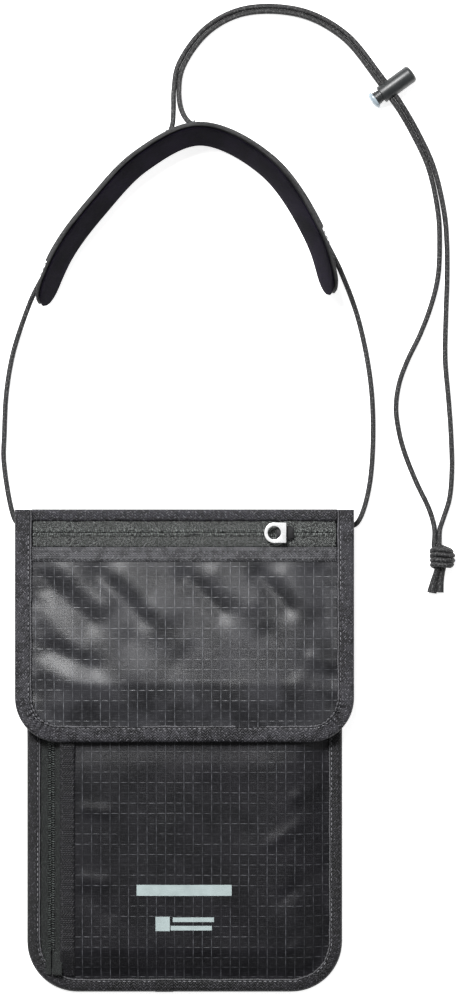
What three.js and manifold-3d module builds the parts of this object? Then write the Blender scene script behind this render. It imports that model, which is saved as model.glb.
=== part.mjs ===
// A flat neck pouch wallet, lying on its back: pouch body, flap, two zips, neck pad, cord and cord lock.
// Millimetres. +X runs across the pouch, +Y up to the neck pad, and +Z through its thickness, out of its front.
// The origin is the centre of the pouch's back face.
import * as THREE from "three";
import { mergeVertices } from "three/addons/utils/BufferGeometryUtils.js";
import Module from "manifold-3d";

const wasm = await Module();
wasm.setup();

// Driving dimensions
const bodyWidth = 150;
const bodyHeight = 230;
const bodyCorner = 24;
const flapWidth = 161;
const flapDrop = 110.5;
const flapCorner = 21;
const fabric = 0.3;
const ripstopThickness = 0.4;
const seamGap = 0.3; // room left between a sewn piece and its neighbour
const seamInset = 1.1; // how far a panel's edge stays inside the outer edge of its binding
const bodyBindingReach = 6.2;
const flapBindingReach = 8;
const topBindingReach = 5.3;
const bindingWall = 0.4;
const rampStart = 6.5; // where the front starts to rise from the seam
const rampWidth = 14.5;
const flapRampStart = 8.5;
const flapRampWidth = 11.5;
const dividerRampStart = 9;
const padWidth = 25;
const padLean = THREE.MathUtils.degToRad(15);
const cordDiameter = 2.5;
const strandOffset = 1.45; // half the distance between the two strands of the doubled cord
const lockAngle = THREE.MathUtils.degToRad(36);

// Heights of the layers, from the back face up
const backThickness = 0.5;
const level = {
  backSeam: 0.6,
  shield: 0.7,
  lining: 1.1,
  liningSeam: 1.3,
  dividerSeam: 1.85,
  divider: 6.3,
  frontSeam: 2.35,
  front: 7.8,
  bodyBindingTop: 3.4,
  mouthSeamTop: 1.7,
  loopPatch: 8.4,
  flapBinding: 8.9,
  hookPatch: 9.0,
  flapLining: 9.5,
  flapPanelSeam: 10.2,
  flapPanel: 10.9,
  flapTape: 10.7,
  flapBindingTop: 11.2,
  flapTopBindingTop: 11.6,
};

const bodyOutline = {
  halfWidth: bodyWidth / 2,
  bottom: -bodyHeight / 2,
  top: bodyHeight / 2,
  radius: bodyCorner,
};
const flapOutline = {
  halfWidth: flapWidth / 2,
  bottom: bodyHeight / 2 - flapDrop,
  top: bodyHeight / 2,
  radius: flapCorner,
};

// Zips
const zipTape = 0.3;
const zipGap = 0.5; // half the channel between the two halves of a zip
const coilWidth = 2.1;
const coilHeight = 0.8;
const coilLift = 0.15;
const bodyZipX = -63.35;
const flapZipY = 104;
const flapSliderX = 47.75;
const bodySliderY = 92;
const frontLeftEdge = -59.3;
const frontTopEdge = 104;
const flapPocketTop = 97.1;

// Materials
const cloth = (color, roughness = 0.8) => new THREE.MeshStandardMaterial({ color, roughness, metalness: 0 });
const ripstop = cloth(0x2c2c30, 0.55);
const bindingCloth = cloth(0x3a3a3e);
const liningCloth = cloth(0x26262a);
const meshCloth = cloth(0x1f1e24, 0.95);
const tapeCloth = cloth(0x434644);
const coilNylon = cloth(0x4b4e4c, 0.5);
const cordBraid = cloth(0x343436);
const shieldFilm = new THREE.MeshStandardMaterial({ color: 0xa9abb0, roughness: 0.35, metalness: 0.8 });
const foamCore = cloth(0x5a5a5e, 1);
const hookNylon = cloth(0x202022, 0.9);
const sliderMetal = new THREE.MeshStandardMaterial({ color: 0x2b2c2e, roughness: 0.4, metalness: 0.8 });
const brightMetal = new THREE.MeshStandardMaterial({ color: 0xdcdddf, roughness: 0.25, metalness: 1 });
const lockPlastic = new THREE.MeshStandardMaterial({ color: 0x26292b, roughness: 0.3, metalness: 0 });
const buttonPlastic = new THREE.MeshStandardMaterial({ color: 0x3c4347, roughness: 0.25, metalness: 0 });
const springSteel = new THREE.MeshStandardMaterial({ color: 0x9a9c9e, roughness: 0.3, metalness: 1 });

const pouch = new THREE.Group();

function addPart(group, name, geometry, material) {
  const mesh = new THREE.Mesh(geometry, material);
  mesh.name = name;
  group.add(mesh);
  return mesh;
}

// Solids

function signedVolume(geometry) {
  const position = geometry.getAttribute("position");
  const corner = [0, 1, 2].map(() => new THREE.Vector3());
  let volume = 0;
  for (let i = 0; i < geometry.index.count; i += 3) {
    corner.forEach((v, k) => v.fromBufferAttribute(position, geometry.index.getX(i + k)));
    volume += corner[0].dot(corner[1].clone().cross(corner[2])) / 6;
  }
  return volume;
}

function facingOut(geometry) {
  if (signedVolume(geometry) < 0) geometry.setIndex([...geometry.index.array].reverse());
  return geometry;
}

// Joins outlines of equal point count, one after another, into a closed solid with flat ends.
// place(point, station) puts a point of an outline into space.
function loft(sections, place) {
  const turned = THREE.ShapeUtils.area(sections[0]) < 0 ? sections.map((s) => [...s].reverse()) : sections;
  const count = turned[0].length;
  const positions = turned.flatMap((section, i) => section.flatMap((p) => place(p, i).toArray()));
  const index = [];
  for (let i = 0; i < turned.length - 1; i++) {
    for (let j = 0; j < count; j++) {
      const a = i * count + j;
      const b = i * count + ((j + 1) % count);
      index.push(a, b, b + count, a, b + count, a + count);
    }
  }
  const lastRing = (turned.length - 1) * count;
  THREE.ShapeUtils.triangulateShape(turned[0], []).forEach(([a, b, c]) => index.push(c, b, a));
  THREE.ShapeUtils.triangulateShape(turned.at(-1), []).forEach(([a, b, c]) =>
    index.push(a + lastRing, b + lastRing, c + lastRing),
  );
  const geometry = new THREE.BufferGeometry();
  geometry.setAttribute("position", new THREE.Float32BufferAttribute(positions, 3));
  geometry.setIndex(index);
  return facingOut(geometry);
}

function toSolid(geometry) {
  const bare = geometry.clone();
  bare.deleteAttribute("normal");
  bare.deleteAttribute("uv");
  const merged = mergeVertices(bare, 1e-3);
  const vertProperties = merged.attributes.position.array;
  const triVerts = new Uint32Array(merged.index.array);
  return new wasm.Manifold(new wasm.Mesh({ numProp: 3, vertProperties, triVerts }));
}

function toGeometry(solid) {
  const mesh = solid.getMesh();
  const geometry = new THREE.BufferGeometry();
  geometry.setAttribute("position", new THREE.Float32BufferAttribute(mesh.vertProperties, 3));
  geometry.setIndex([...mesh.triVerts]);
  return geometry;
}

const join = (...parts) => toGeometry(parts.map(toSolid).reduce((a, b) => a.add(b)));
const cut = (body, ...tools) => toGeometry(tools.map(toSolid).reduce((a, b) => a.subtract(b), toSolid(body)));

function slab([x0, x1], [y0, y1], [z0, z1]) {
  const box = new THREE.BoxGeometry(x1 - x0, y1 - y0, z1 - z0);
  return box.translate((x0 + x1) / 2, (y0 + y1) / 2, (z0 + z1) / 2);
}

function tube(points, radius, steps, sides = 8) {
  const path = new THREE.CatmullRomCurve3(points, false, "centripetal");
  const section = new THREE.Shape();
  for (let i = 0; i < sides; i++) {
    const angle = (2 * Math.PI * i) / sides;
    const corner = [radius * Math.cos(angle), radius * Math.sin(angle)];
    if (i === 0) section.moveTo(...corner);
    else section.lineTo(...corner);
  }
  return new THREE.ExtrudeGeometry(section, { steps, extrudePath: path, bevelEnabled: false });
}

// Sewn panels

function halfWidthAt(outline, y) {
  const drop = THREE.MathUtils.clamp(outline.bottom + outline.radius - y, 0, outline.radius);
  return outline.halfWidth - outline.radius + Math.sqrt(outline.radius ** 2 - drop ** 2);
}

function edgeDistance(outline, x, y) {
  const beside = Math.abs(x) - (outline.halfWidth - outline.radius);
  const below = outline.bottom + outline.radius - y;
  if (beside > 0 && below > 0) return outline.radius - Math.hypot(beside, below);
  return Math.min(outline.halfWidth - Math.abs(x), y - outline.bottom);
}

// Goes in a straight ramp from the seam height to the middle height.
function ramp(outline, seamHeight, middleHeight, start = rampStart, width = rampWidth) {
  return (x, y) => {
    const share = THREE.MathUtils.clamp((edgeDistance(outline, x, y) - start) / width, 0, 1);
    return seamHeight + (middleHeight - seamHeight) * share;
  };
}

// The same, for a panel whose top edge is sewn too.
function rampAllRound(outline, seamHeight, middleHeight) {
  const belowTop = ramp(outline, seamHeight, middleHeight);
  return (x, y) => {
    const share = THREE.MathUtils.clamp((outline.top - y - rampStart) / rampWidth, 0, 1);
    return seamHeight + (belowTop(x, y) - seamHeight) * share;
  };
}

function insetOutline(outline, inset) {
  return {
    halfWidth: outline.halfWidth - inset,
    bottom: outline.bottom + inset,
    top: outline.top - inset,
    radius: outline.radius - inset,
  };
}

const cornerAngles = [0, 15, 30, 45, 60, 75, 90].map(THREE.MathUtils.degToRad);

// Rows of a panel from its bottom edge up: the round corners' own, and those where its height changes.
function panelRows(inner, offsets, top = inner.top) {
  const corner = cornerAngles.map((angle) => inner.bottom + inner.radius * (1 - Math.cos(angle)));
  const steps = offsets.map((offset) => inner.bottom + offset);
  const rows = [...new Set([...corner, ...steps])].sort((a, b) => a - b);
  const topSteps = offsets.map((offset) => inner.top - offset).reverse();
  return [...rows, ...topSteps.filter((y) => y < top - 1), top];
}

// A thin panel: columnsAt(y) gives its x stations, low(x, y) its underside.
function panel(rows, columnsAt, low, thickness) {
  const sections = rows.map((y) => {
    const xs = columnsAt(y);
    const under = xs.map((x) => new THREE.Vector2(x, low(x, y)));
    const over = xs.map((x) => new THREE.Vector2(x, low(x, y) + thickness)).reverse();
    return [...under, ...over];
  });
  return loft(sections, (p, i) => new THREE.Vector3(p.x, rows[i], p.y));
}

const bodyOffsets = [0, 5.4, 7.9, 14, 19.9, 22.4]; // distances in from a panel's edge
const flapOffsets = [0, 7.4, 13, 19];
const bodyPanelOutline = insetOutline(bodyOutline, seamInset);
const flapPanelOutline = insetOutline(flapOutline, seamInset);

function bothSides(inner, offsets) {
  return (y) => {
    const half = halfWidthAt(inner, y);
    return [...offsets.map((o) => o - half), 0, ...offsets.map((o) => half - o).reverse()];
  };
}

function bodyPanel(low, thickness, top) {
  const rows = panelRows(bodyPanelOutline, bodyOffsets, top);
  return panel(rows, bothSides(bodyPanelOutline, bodyOffsets), low, thickness);
}

// A binding tape folded over an edge: an open channel swept along the outline,
// from the top left round to the top right.
function channelSection(reach, z0, z1, wall) {
  const corners = [
    [0, z0],
    [reach, z0],
    [reach, z0 + wall],
    [wall * 2, z0 + wall],
    [wall * 2, z1 - wall],
    [reach, z1 - wall],
    [reach, z1],
    [0, z1],
  ];
  return corners.map(([inward, z]) => new THREE.Vector2(inward, z));
}

function edgeBinding(outline, reach, z0, z1) {
  const { halfWidth, bottom, top, radius } = outline;
  const left = new THREE.Vector2(-1, 0);
  const stations = [{ at: new THREE.Vector2(-halfWidth, top), out: left }];
  [-1, 1].forEach((side) => {
    const centre = new THREE.Vector2(side * (halfWidth - radius), bottom + radius);
    const angles = side < 0 ? cornerAngles : [...cornerAngles].reverse();
    angles.forEach((angle) => {
      const out = new THREE.Vector2(side * Math.cos(angle), -Math.sin(angle));
      stations.push({ at: centre.clone().addScaledVector(out, radius), out });
    });
  });
  stations.push({ at: new THREE.Vector2(halfWidth, top), out: new THREE.Vector2(1, 0) });
  const section = channelSection(reach, z0, z1, bindingWall);
  return loft(
    stations.map(() => section),
    (p, i) => {
      const { at, out } = stations[i];
      return new THREE.Vector3(at.x - p.x * out.x, at.y - p.x * out.y, p.y);
    },
  );
}

function topBinding(halfLength, reach, z0, z1) {
  const section = channelSection(reach, z0, z1, bindingWall);
  const ends = [-halfLength, halfLength];
  return loft([section, section], (p, i) => new THREE.Vector3(ends[i], bodyHeight / 2 - p.x, p.y));
}

// Pouch body

const backLow = rampAllRound(bodyOutline, level.backSeam, 0);
addPart(pouch, "back_panel", bodyPanel(backLow, backThickness, bodyPanelOutline.top), ripstop);

const shieldInset = 22;
const shieldThickness = 0.2;
addPart(
  pouch,
  "rfid_shield",
  slab(
    [shieldInset - bodyWidth / 2, bodyWidth / 2 - shieldInset],
    [shieldInset - bodyHeight / 2, bodyHeight / 2 - shieldInset],
    [level.shield, level.shield + shieldThickness],
  ),
  shieldFilm,
);

const liningLow = rampAllRound(bodyOutline, level.liningSeam, level.lining);
const liningTop = 108.5;
addPart(pouch, "back_lining", bodyPanel(liningLow, fabric, liningTop), liningCloth);

const dividerLow = ramp(bodyOutline, level.dividerSeam, level.divider, dividerRampStart);
addPart(pouch, "pocket_divider", bodyPanel(dividerLow, fabric, frontTopEdge), liningCloth);

// The front panel runs from the zip's folded edge to the right seam.
const frontLow = ramp(bodyOutline, level.frontSeam, level.front);
const zipEdgeSteps = [0, 0.4, 2.3, 4.3, 5.3, 7.3];
function frontColumns(y) {
  const half = halfWidthAt(bodyPanelOutline, y);
  const left = bodyOffsets.map((o, i) => -Math.min(-frontLeftEdge - zipEdgeSteps[i], half - o));
  return [...left, 0, ...bodyOffsets.map((o) => half - o).reverse()];
}
addPart(
  pouch,
  "front_panel",
  panel(panelRows(bodyPanelOutline, bodyOffsets, frontTopEdge), frontColumns, frontLow, ripstopThickness),
  ripstop,
);

const bodyEdge = edgeBinding(bodyOutline, bodyBindingReach, 0, level.bodyBindingTop);
addPart(pouch, "body_binding", bodyEdge, bindingCloth);
const mouthSeamHalf = bodyWidth / 2 - bodyBindingReach - seamGap;
addPart(
  pouch,
  "mouth_seam_binding",
  topBinding(mouthSeamHalf, topBindingReach, 0, level.mouthSeamTop),
  bindingCloth,
);

const patchHalfWidth = 30;
const patchSpan = [15, 33];
const patchThickness = 0.35;
addPart(
  pouch,
  "loop_patch",
  slab([-patchHalfWidth, patchHalfWidth], patchSpan, [level.loopPatch, level.loopPatch + patchThickness]),
  hookNylon,
);

// Body zip, down the left side on the sloping front

const zipTop = 108;
const zipTapeBottom = -107;
const coilBottom = -95;
const outerTapeSteps = [0, 5.4, 7.9];
const outerTapeNarrow = [1.2, 0.8, 0.4];
function outerTapeColumns(y) {
  const half = halfWidthAt(bodyPanelOutline, y);
  const inner = -(bodyZipX - zipGap);
  return [...outerTapeSteps.map((o, i) => -Math.max(inner + outerTapeNarrow[i], half - o)), -inner];
}
function zipRows(bottom) {
  const cornerTop = bodyPanelOutline.bottom + bodyPanelOutline.radius;
  const rows = panelRows(bodyPanelOutline, bodyOffsets, zipTop);
  return [bottom, ...rows.filter((y) => y > bottom + 1 && (y <= cornerTop || y === zipTop))];
}
addPart(
  pouch,
  "body_zip_tape_outer",
  panel(zipRows(zipTapeBottom), outerTapeColumns, frontLow, zipTape),
  tapeCloth,
);
const innerTapeColumns = () => [bodyZipX + zipGap, frontLeftEdge - seamGap];
addPart(
  pouch,
  "body_zip_tape_inner",
  panel(zipRows(zipTapeBottom), innerTapeColumns, frontLow, zipTape),
  tapeCloth,
);

// A zip's own frame has X along the zip and Z up from the middle of the tape.
// One row of nylon coils, on the side given by the sign.
function coilRow(side, start, end) {
  const [near, far] = [side * zipGap, side * (zipGap + coilWidth)].sort((a, b) => a - b);
  const bottom = zipTape / 2 + coilLift;
  return slab([start, end], [near, far], [bottom, bottom + coilHeight]);
}

const bodyZipSlope = Math.atan((level.front - level.frontSeam) / rampWidth);
const bodyZipTilt = new THREE.Group();
bodyZipTilt.position.set(bodyZipX, 0, frontLow(bodyZipX, 0) + zipTape / 2);
bodyZipTilt.rotation.y = -bodyZipSlope;
const bodyZip = new THREE.Group();
bodyZip.rotation.z = Math.PI / 2;
bodyZipTilt.add(bodyZip);
pouch.add(bodyZipTilt);
addPart(bodyZip, "body_zip_coil_outer", coilRow(1, coilBottom, zipTop), coilNylon);
addPart(bodyZip, "body_zip_coil_inner", coilRow(-1, coilBottom, zipTop), coilNylon);

// Zip slider, in its own frame: X runs along the zip, Z up from the middle of the tape.

const slider = {
  halfLength: 4.2,
  halfWidth: 3.45,
  noseHalfWidth: 2.6,
  topPlate: [1.3, 1.8],
  bottomPlate: [-0.8, -0.35],
  rail: [2.85, 3.45],
  railBottom: 0.4,
  railHalfLength: 2.8,
  earGap: [1.9, 2.6],
  hingeHeight: 3,
  hingeX: 0,
  earRadius: 0.7,
  pinRadius: 0.3,
  boreRadius: 0.45,
  webHalfLength: 2,
  webHalfWidth: 0.25,
};
const overlap = 0.1; // how far joined solids run into each other

function sliderPlate([z0, z1]) {
  const { halfLength, halfWidth, noseHalfWidth } = slider;
  const outline = new THREE.Shape();
  outline.moveTo(-halfLength, -noseHalfWidth);
  outline.quadraticCurveTo(-1, -halfWidth, 1, -halfWidth);
  outline.lineTo(halfLength - 1, -halfWidth);
  outline.quadraticCurveTo(halfLength, -halfWidth, halfLength, 1 - halfWidth);
  outline.lineTo(halfLength, halfWidth - 1);
  outline.quadraticCurveTo(halfLength, halfWidth, halfLength - 1, halfWidth);
  outline.lineTo(1, halfWidth);
  outline.quadraticCurveTo(-1, halfWidth, -halfLength, noseHalfWidth);
  outline.closePath();
  const plate = new THREE.ExtrudeGeometry(outline, { depth: z1 - z0, bevelEnabled: false, curveSegments: 4 });
  return plate.translate(0, 0, z0);
}

// A round bar along Y at the slider's hinge.
function hingeBar(radius, y0, y1) {
  const bar = new THREE.CylinderGeometry(radius, radius, y1 - y0, 16);
  return bar.translate(slider.hingeX, (y0 + y1) / 2, slider.hingeHeight);
}

function sliderBody() {
  const [topBottom, topTop] = slider.topPlate;
  const rails = [-1, 1].map((side) => {
    const [near, far] = slider.rail.map((y) => side * y).sort((a, b) => a - b);
    const length = [-slider.railHalfLength, slider.railHalfLength];
    return slab(length, [near, far], [slider.railBottom, topBottom + overlap]);
  });
  const ears = [-1, 1].flatMap((side) => {
    const [near, far] = slider.earGap.map((y) => side * y).sort((a, b) => a - b);
    const width = [-slider.earRadius, slider.earRadius];
    const foot = slab(width, [near, far], [topTop - overlap, slider.hingeHeight]);
    return [foot, hingeBar(slider.earRadius, near, far)];
  });
  const web = slab(
    [-slider.webHalfLength, slider.webHalfLength],
    [-slider.webHalfWidth, slider.webHalfWidth],
    [slider.bottomPlate[0] + overlap, topTop - overlap],
  );
  const solid = join(sliderPlate(slider.topPlate), sliderPlate(slider.bottomPlate), web, ...rails, ...ears);
  return cut(solid, hingeBar(slider.boreRadius, -slider.halfWidth, slider.halfWidth));
}

// Bright pull: a round ring that runs out into a square base over its hinge.
const pull = {
  halfWidth: 4.85,
  baseEnd: 0.55,
  ringX: -5,
  holeX: -5.2,
  holeRadius: 3.1,
  low: 0.8,
  high: 1.5,
  neck: [-0.5, 0.4],
  earRoom: 0.2,
};

function zipPull() {
  const outline = new THREE.Shape();
  outline.moveTo(pull.ringX, -pull.halfWidth);
  outline.lineTo(pull.baseEnd, -pull.halfWidth);
  outline.lineTo(pull.baseEnd, pull.halfWidth);
  outline.lineTo(pull.ringX, pull.halfWidth);
  outline.absarc(pull.ringX, 0, pull.halfWidth, Math.PI / 2, (3 * Math.PI) / 2, false);
  const hole = new THREE.Path();
  hole.absarc(pull.holeX, 0, pull.holeRadius, 0, 2 * Math.PI, true);
  outline.holes.push(hole);
  const depth = pull.high - pull.low;
  const plate = new THREE.ExtrudeGeometry(outline, { depth, bevelEnabled: false, curveSegments: 14 });
  plate.translate(0, 0, slider.hingeHeight + pull.low);
  const neckHalf = slider.earGap[0] - pull.earRoom;
  const knuckle = hingeBar(slider.earRadius - 0.05, -neckHalf, neckHalf);
  const neckTop = slider.hingeHeight + pull.low + overlap;
  const neck = slab(pull.neck, [-neckHalf, neckHalf], [slider.hingeHeight, neckTop]);
  const pin = hingeBar(slider.pinRadius, -slider.earGap[1], slider.earGap[1]);
  return join(plate, knuckle, neck, pin);
}

// Soft ribbon puller, folded round a bar between the ears.
function ribbonPuller() {
  const ribbonHalf = 1.6;
  const ribbonLevel = [-0.2, 0.4]; // above the hinge
  const length = 17;
  const bar = hingeBar(slider.pinRadius, -slider.earGap[1], slider.earGap[1]);
  const fold = hingeBar(slider.earRadius, -ribbonHalf, ribbonHalf);
  const height = ribbonLevel.map((z) => slider.hingeHeight + z);
  const tail = slab([-length, 0], [-ribbonHalf, ribbonHalf], height);
  return join(bar, fold, tail);
}

const bodySlider = new THREE.Group();
bodySlider.position.x = bodySliderY;
bodyZip.add(bodySlider);
addPart(bodySlider, "body_zip_slider", sliderBody(), sliderMetal);
addPart(bodySlider, "body_zip_puller", ribbonPuller(), bindingCloth);

// Flap

const flap = new THREE.Group();
pouch.add(flap);
const flapRows = (top) => panelRows(flapPanelOutline, flapOffsets, top);
const flapColumns = bothSides(flapPanelOutline, flapOffsets);
const flapSeamTop = 113.6;
const liningLevel = () => level.flapLining;
addPart(flap, "flap_lining", panel(flapRows(flapSeamTop), flapColumns, liningLevel, fabric), liningCloth);

const flapPanelLow = ramp(flapOutline, level.flapPanelSeam, level.flapPanel, flapRampStart, flapRampWidth);
const flapPanelRows = flapRows(flapPocketTop);
addPart(flap, "flap_pocket_panel", panel(flapPanelRows, flapColumns, flapPanelLow, ripstopThickness), ripstop);
addPart(
  flap,
  "flap_edge_binding",
  edgeBinding(flapOutline, flapBindingReach, level.flapBinding, level.flapBindingTop),
  bindingCloth,
);
const flapInnerHalf = flapWidth / 2 - flapBindingReach - seamGap;
addPart(
  flap,
  "flap_top_binding",
  topBinding(flapInnerHalf, topBindingReach, level.flapBinding, level.flapTopBindingTop),
  bindingCloth,
);

const hingeTape = { halfLength: 68, y: [114.1, 114.6], z: [2.1, 8.6] };
addPart(
  flap,
  "flap_hinge_tape",
  slab([-hingeTape.halfLength, hingeTape.halfLength], hingeTape.y, hingeTape.z),
  bindingCloth,
);
addPart(
  flap,
  "hook_patch",
  slab([-patchHalfWidth, patchHalfWidth], patchSpan, [level.hookPatch, level.hookPatch + patchThickness]),
  hookNylon,
);

// Flap zip, across the top of the flap
const flapZipHalf = flapInnerHalf - 0.2;
const across = [-flapZipHalf, flapZipHalf];
const flapTapeSpan = [level.flapTape, level.flapTape + zipTape];
addPart(flap, "flap_zip_tape_upper", slab(across, [flapZipY + zipGap, flapSeamTop], flapTapeSpan), tapeCloth);
addPart(
  flap,
  "flap_zip_tape_lower",
  slab(across, [flapPocketTop + seamGap, flapZipY - zipGap], flapTapeSpan),
  tapeCloth,
);
const flapZip = new THREE.Group();
flapZip.position.set(0, flapZipY, level.flapTape + zipTape / 2);
flap.add(flapZip);
addPart(flapZip, "flap_zip_coil_upper", coilRow(1, ...across), coilNylon);
addPart(flapZip, "flap_zip_coil_lower", coilRow(-1, ...across), coilNylon);
const flapSlider = new THREE.Group();
flapSlider.position.x = flapSliderX;
flapZip.add(flapSlider);
addPart(flapSlider, "flap_zip_slider", sliderBody(), sliderMetal);
addPart(flapSlider, "flap_zip_pull", zipPull(), brightMetal);

// Neck pad: a padded strip that stands on its edge along an arch and leans outwards at the top

const padLine = new THREE.CatmullRomCurve3(
  [
    [-69, 212.5],
    [-57.5, 238],
    [-41, 260],
    [-20.5, 281],
    [7.5, 293.8],
    [39.8, 278.3],
    [62.3, 245],
    [71, 217.5],
  ].map(([x, y]) => new THREE.Vector3(x, y, 0)),
);
const padLength = padLine.getLength();
const padFoot = 5.25; // from the strip's inner foot out to the pad line
const padLift = 1;
const padTip = 12;

// The pad's layers, as distances out from its inner face.
const padLayer = { base: [0, 0.5], foam: [0.7, 2.7], cover: [2.9, 3.4] };

// Places a point given across the strip (p.x, from its middle) and out through its layers (p.y).
function onPad(distance, p) {
  const at = padLine.getPointAt(distance / padLength);
  const along = padLine.getTangentAt(distance / padLength);
  const out = new THREE.Vector3(-along.y, along.x, 0);
  const height = padWidth / 2 + p.x;
  const reach = height * Math.sin(padLean) + p.y * Math.cos(padLean) - padFoot;
  const z = padLift + height * Math.cos(padLean) - p.y * Math.sin(padLean);
  return at.clone().addScaledVector(out, reach).setZ(z);
}

function padStations(start, end, count) {
  return Array.from({ length: count + 1 }, (_, i) => start + ((end - start) * i) / count);
}

const tipStations = [0, 0.6, 2.2, 5, 8.5];
const padRun = [
  ...tipStations,
  ...padStations(padTip, padLength - padTip, 24),
  ...tipStations.map((s) => padLength - s).reverse(),
];

function padStrip([inner, outer], edgeInset) {
  const half = padWidth / 2 - edgeInset;
  const start = edgeInset;
  const run = padRun.map((s) => THREE.MathUtils.clamp(s, start, padLength - start));
  const stations = run.filter((s, i) => i === 0 || s > run[i - 1]);
  const sections = stations.map((s) => {
    const fromTip = Math.min(s, padLength - s) - start;
    const roundness = Math.min(1, fromTip / padTip);
    const reach = half * Math.max(0.15, Math.sqrt(1 - (1 - roundness) ** 2));
    return [
      [-reach, inner],
      [reach, inner],
      [reach, outer],
      [-reach, outer],
    ].map(([x, y]) => new THREE.Vector2(x, y));
  });
  return loft(sections, (p, i) => onPad(stations[i], p));
}
addPart(pouch, "neck_pad_base", padStrip(padLayer.base, 0), meshCloth);
addPart(pouch, "neck_pad_foam", padStrip(padLayer.foam, 0.8), foamCore);
addPart(pouch, "neck_pad_cover", padStrip(padLayer.cover, 0), bindingCloth);

// Cords. Each route is a list of points; the doubled stretch is one middle line with a strand on each side.

const point = ([x, y, z]) => new THREE.Vector3(x, y, z);

const lockCentre = new THREE.Vector3(97, 315, 4.5);
const lockAxis = new THREE.Vector3(Math.cos(lockAngle), Math.sin(lockAngle), 0);
const lockRun = new THREE.Vector3(Math.sin(lockAngle), -Math.cos(lockAngle), 0);
const besideLock = (distance) => lockCentre.clone().addScaledVector(lockRun, distance);

const doubledLine = [
  ...[
    [-3.9, 315, 4.6],
    [-1.8, 327, 1.5],
    [10.8, 344.1, 1.35],
    [28.8, 353.1, 1.35],
    [55.8, 352.2, 1.35],
    [76.4, 341.2, 1.6],
  ].map(point),
  ...[-9, 0, 9].map(besideLock),
  ...[
    [110, 294.9, 2],
    [117.6, 278.4, 1.35],
  ].map(point),
];

function strand(side) {
  return doubledLine.map((at, i) => {
    const before = doubledLine[Math.max(0, i - 1)];
    const after = doubledLine[Math.min(doubledLine.length - 1, i + 1)];
    const along = after.clone().sub(before).setZ(0).normalize();
    return at.clone().add(new THREE.Vector3(-along.y, along.x, 0).multiplyScalar(side * strandOffset));
  });
}

// From the pouch's top left corner, through the pad's tunnel and out of its left hole
const leftRun = [
  [-78.5, 108, 1.45],
  [-80.9, 109.9, 1.4],
  [-86.3, 137, 1.35],
  [-86.1, 152.1, 1.35],
  [-85.1, 171.1, 1.35],
  [-81.8, 190.1, 1.8],
  [-74.6, 211, 6.2],
  [-70.7, 219.4, 9.6],
  [-65.6, 228.4, 11.7],
  [-57.9, 243, 11.7],
  [-48.2, 256.1, 11.7],
  [-37.8, 268.4, 11.7],
  [-26.4, 280.2, 11.7],
  [-12.9, 289.7, 11.7],
].map(point);
const leftExit = [
  [-8.2, 292.6, 11.6],
  [-5.9, 297.2, 11],
  [-5.3, 304, 8.6],
].map(point);

// From the top right corner, through the tunnel and out of its right hole
const rightRun = [
  [78.5, 106.6, 1.45],
  [82.4, 108.7, 1.4],
  [88.1, 125.8, 1.35],
  [89.5, 168.1, 1.35],
  [83.3, 204.2, 2.2],
  [74.6, 227.8, 8.6],
  [69.2, 238.4, 11.2],
  [52.3, 268.5, 11.7],
  [41.2, 281, 11.7],
  [27.6, 290.5, 11.7],
  [14.5, 295.9, 11.7],
].map(point);
const rightExit = [
  [7.4, 297.2, 11.7],
  [2.2, 299.2, 11.1],
  [-1.2, 304.6, 9],
].map(point);

// After the doubled stretch the strands part, and meet again at the knot.
const outerFall = [
  [124, 256.5, 1.35],
  [125.2, 242, 1.35],
  [125.3, 225, 1.35],
  [124.7, 206.2, 1.35],
  [124.4, 187, 1.35],
  [126.1, 166.2, 1.35],
  [127.1, 151.9, 1.35],
  [127.6, 133.8, 1.35],
  [126.4, 120, 1.35],
  [123.6, 111, 1.6],
  [122, 105.5, 2.6],
  [121.6, 98.2, 3.9],
].map(point);
const innerFall = [
  [121, 256.5, 1.35],
  [121.7, 242, 1.35],
  [120.9, 226, 1.35],
  [117.9, 213.2, 1.35],
  [112.6, 199, 1.35],
  [106.2, 185.7, 1.35],
  [102.4, 175, 1.35],
  [100.9, 163.8, 1.35],
  [101.9, 154.3, 1.35],
  [104.3, 144.3, 1.35],
  [110.2, 129, 1.35],
  [116.6, 115.5, 1.35],
  [118.7, 108.8, 1.6],
  [119.2, 104.5, 2.6],
  [118.8, 98.2, 3.9],
].map(point);

const cordSteps = 80;
const leftRoute = [...leftRun, ...leftExit, ...strand(1), ...outerFall];
const rightRoute = [...rightRun, ...rightExit, ...strand(-1), ...innerFall];
addPart(pouch, "cord_left", tube(leftRoute, cordDiameter / 2, cordSteps), cordBraid);
addPart(pouch, "cord_right", tube(rightRoute, cordDiameter / 2, cordSteps), cordBraid);

// Tunnel sleeve on the pad's outer face, with a hole for each cord
const tunnelStart = 20;
const tunnelEnd = padLength - 31;
const tunnelSection = [
  [-7.5, 3.6],
  [-7.5, 4],
  [-3.8, 4],
  [-3.2, 6.4],
  [-1.8, 7.6],
  [1.8, 7.6],
  [3.2, 6.4],
  [3.8, 4],
  [7.5, 4],
  [7.5, 3.6],
  [3.4, 3.6],
  [2.8, 6.2],
  [1.6, 7.2],
  [-1.6, 7.2],
  [-2.8, 6.2],
  [-3.4, 3.6],
].map(([x, y]) => new THREE.Vector2(x, y));
const tunnelStations = padStations(tunnelStart, tunnelEnd, 24);
const tunnel = loft(
  tunnelStations.map(() => tunnelSection),
  (p, i) => onPad(tunnelStations[i], p),
);
const holeRadius = cordDiameter / 2 + 0.35;
const exitHoles = [leftRoute, rightRoute].map((route) => tube(route, holeRadius, cordSteps));
addPart(pouch, "neck_pad_sleeve", cut(tunnel, ...exitHoles), bindingCloth);

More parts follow.
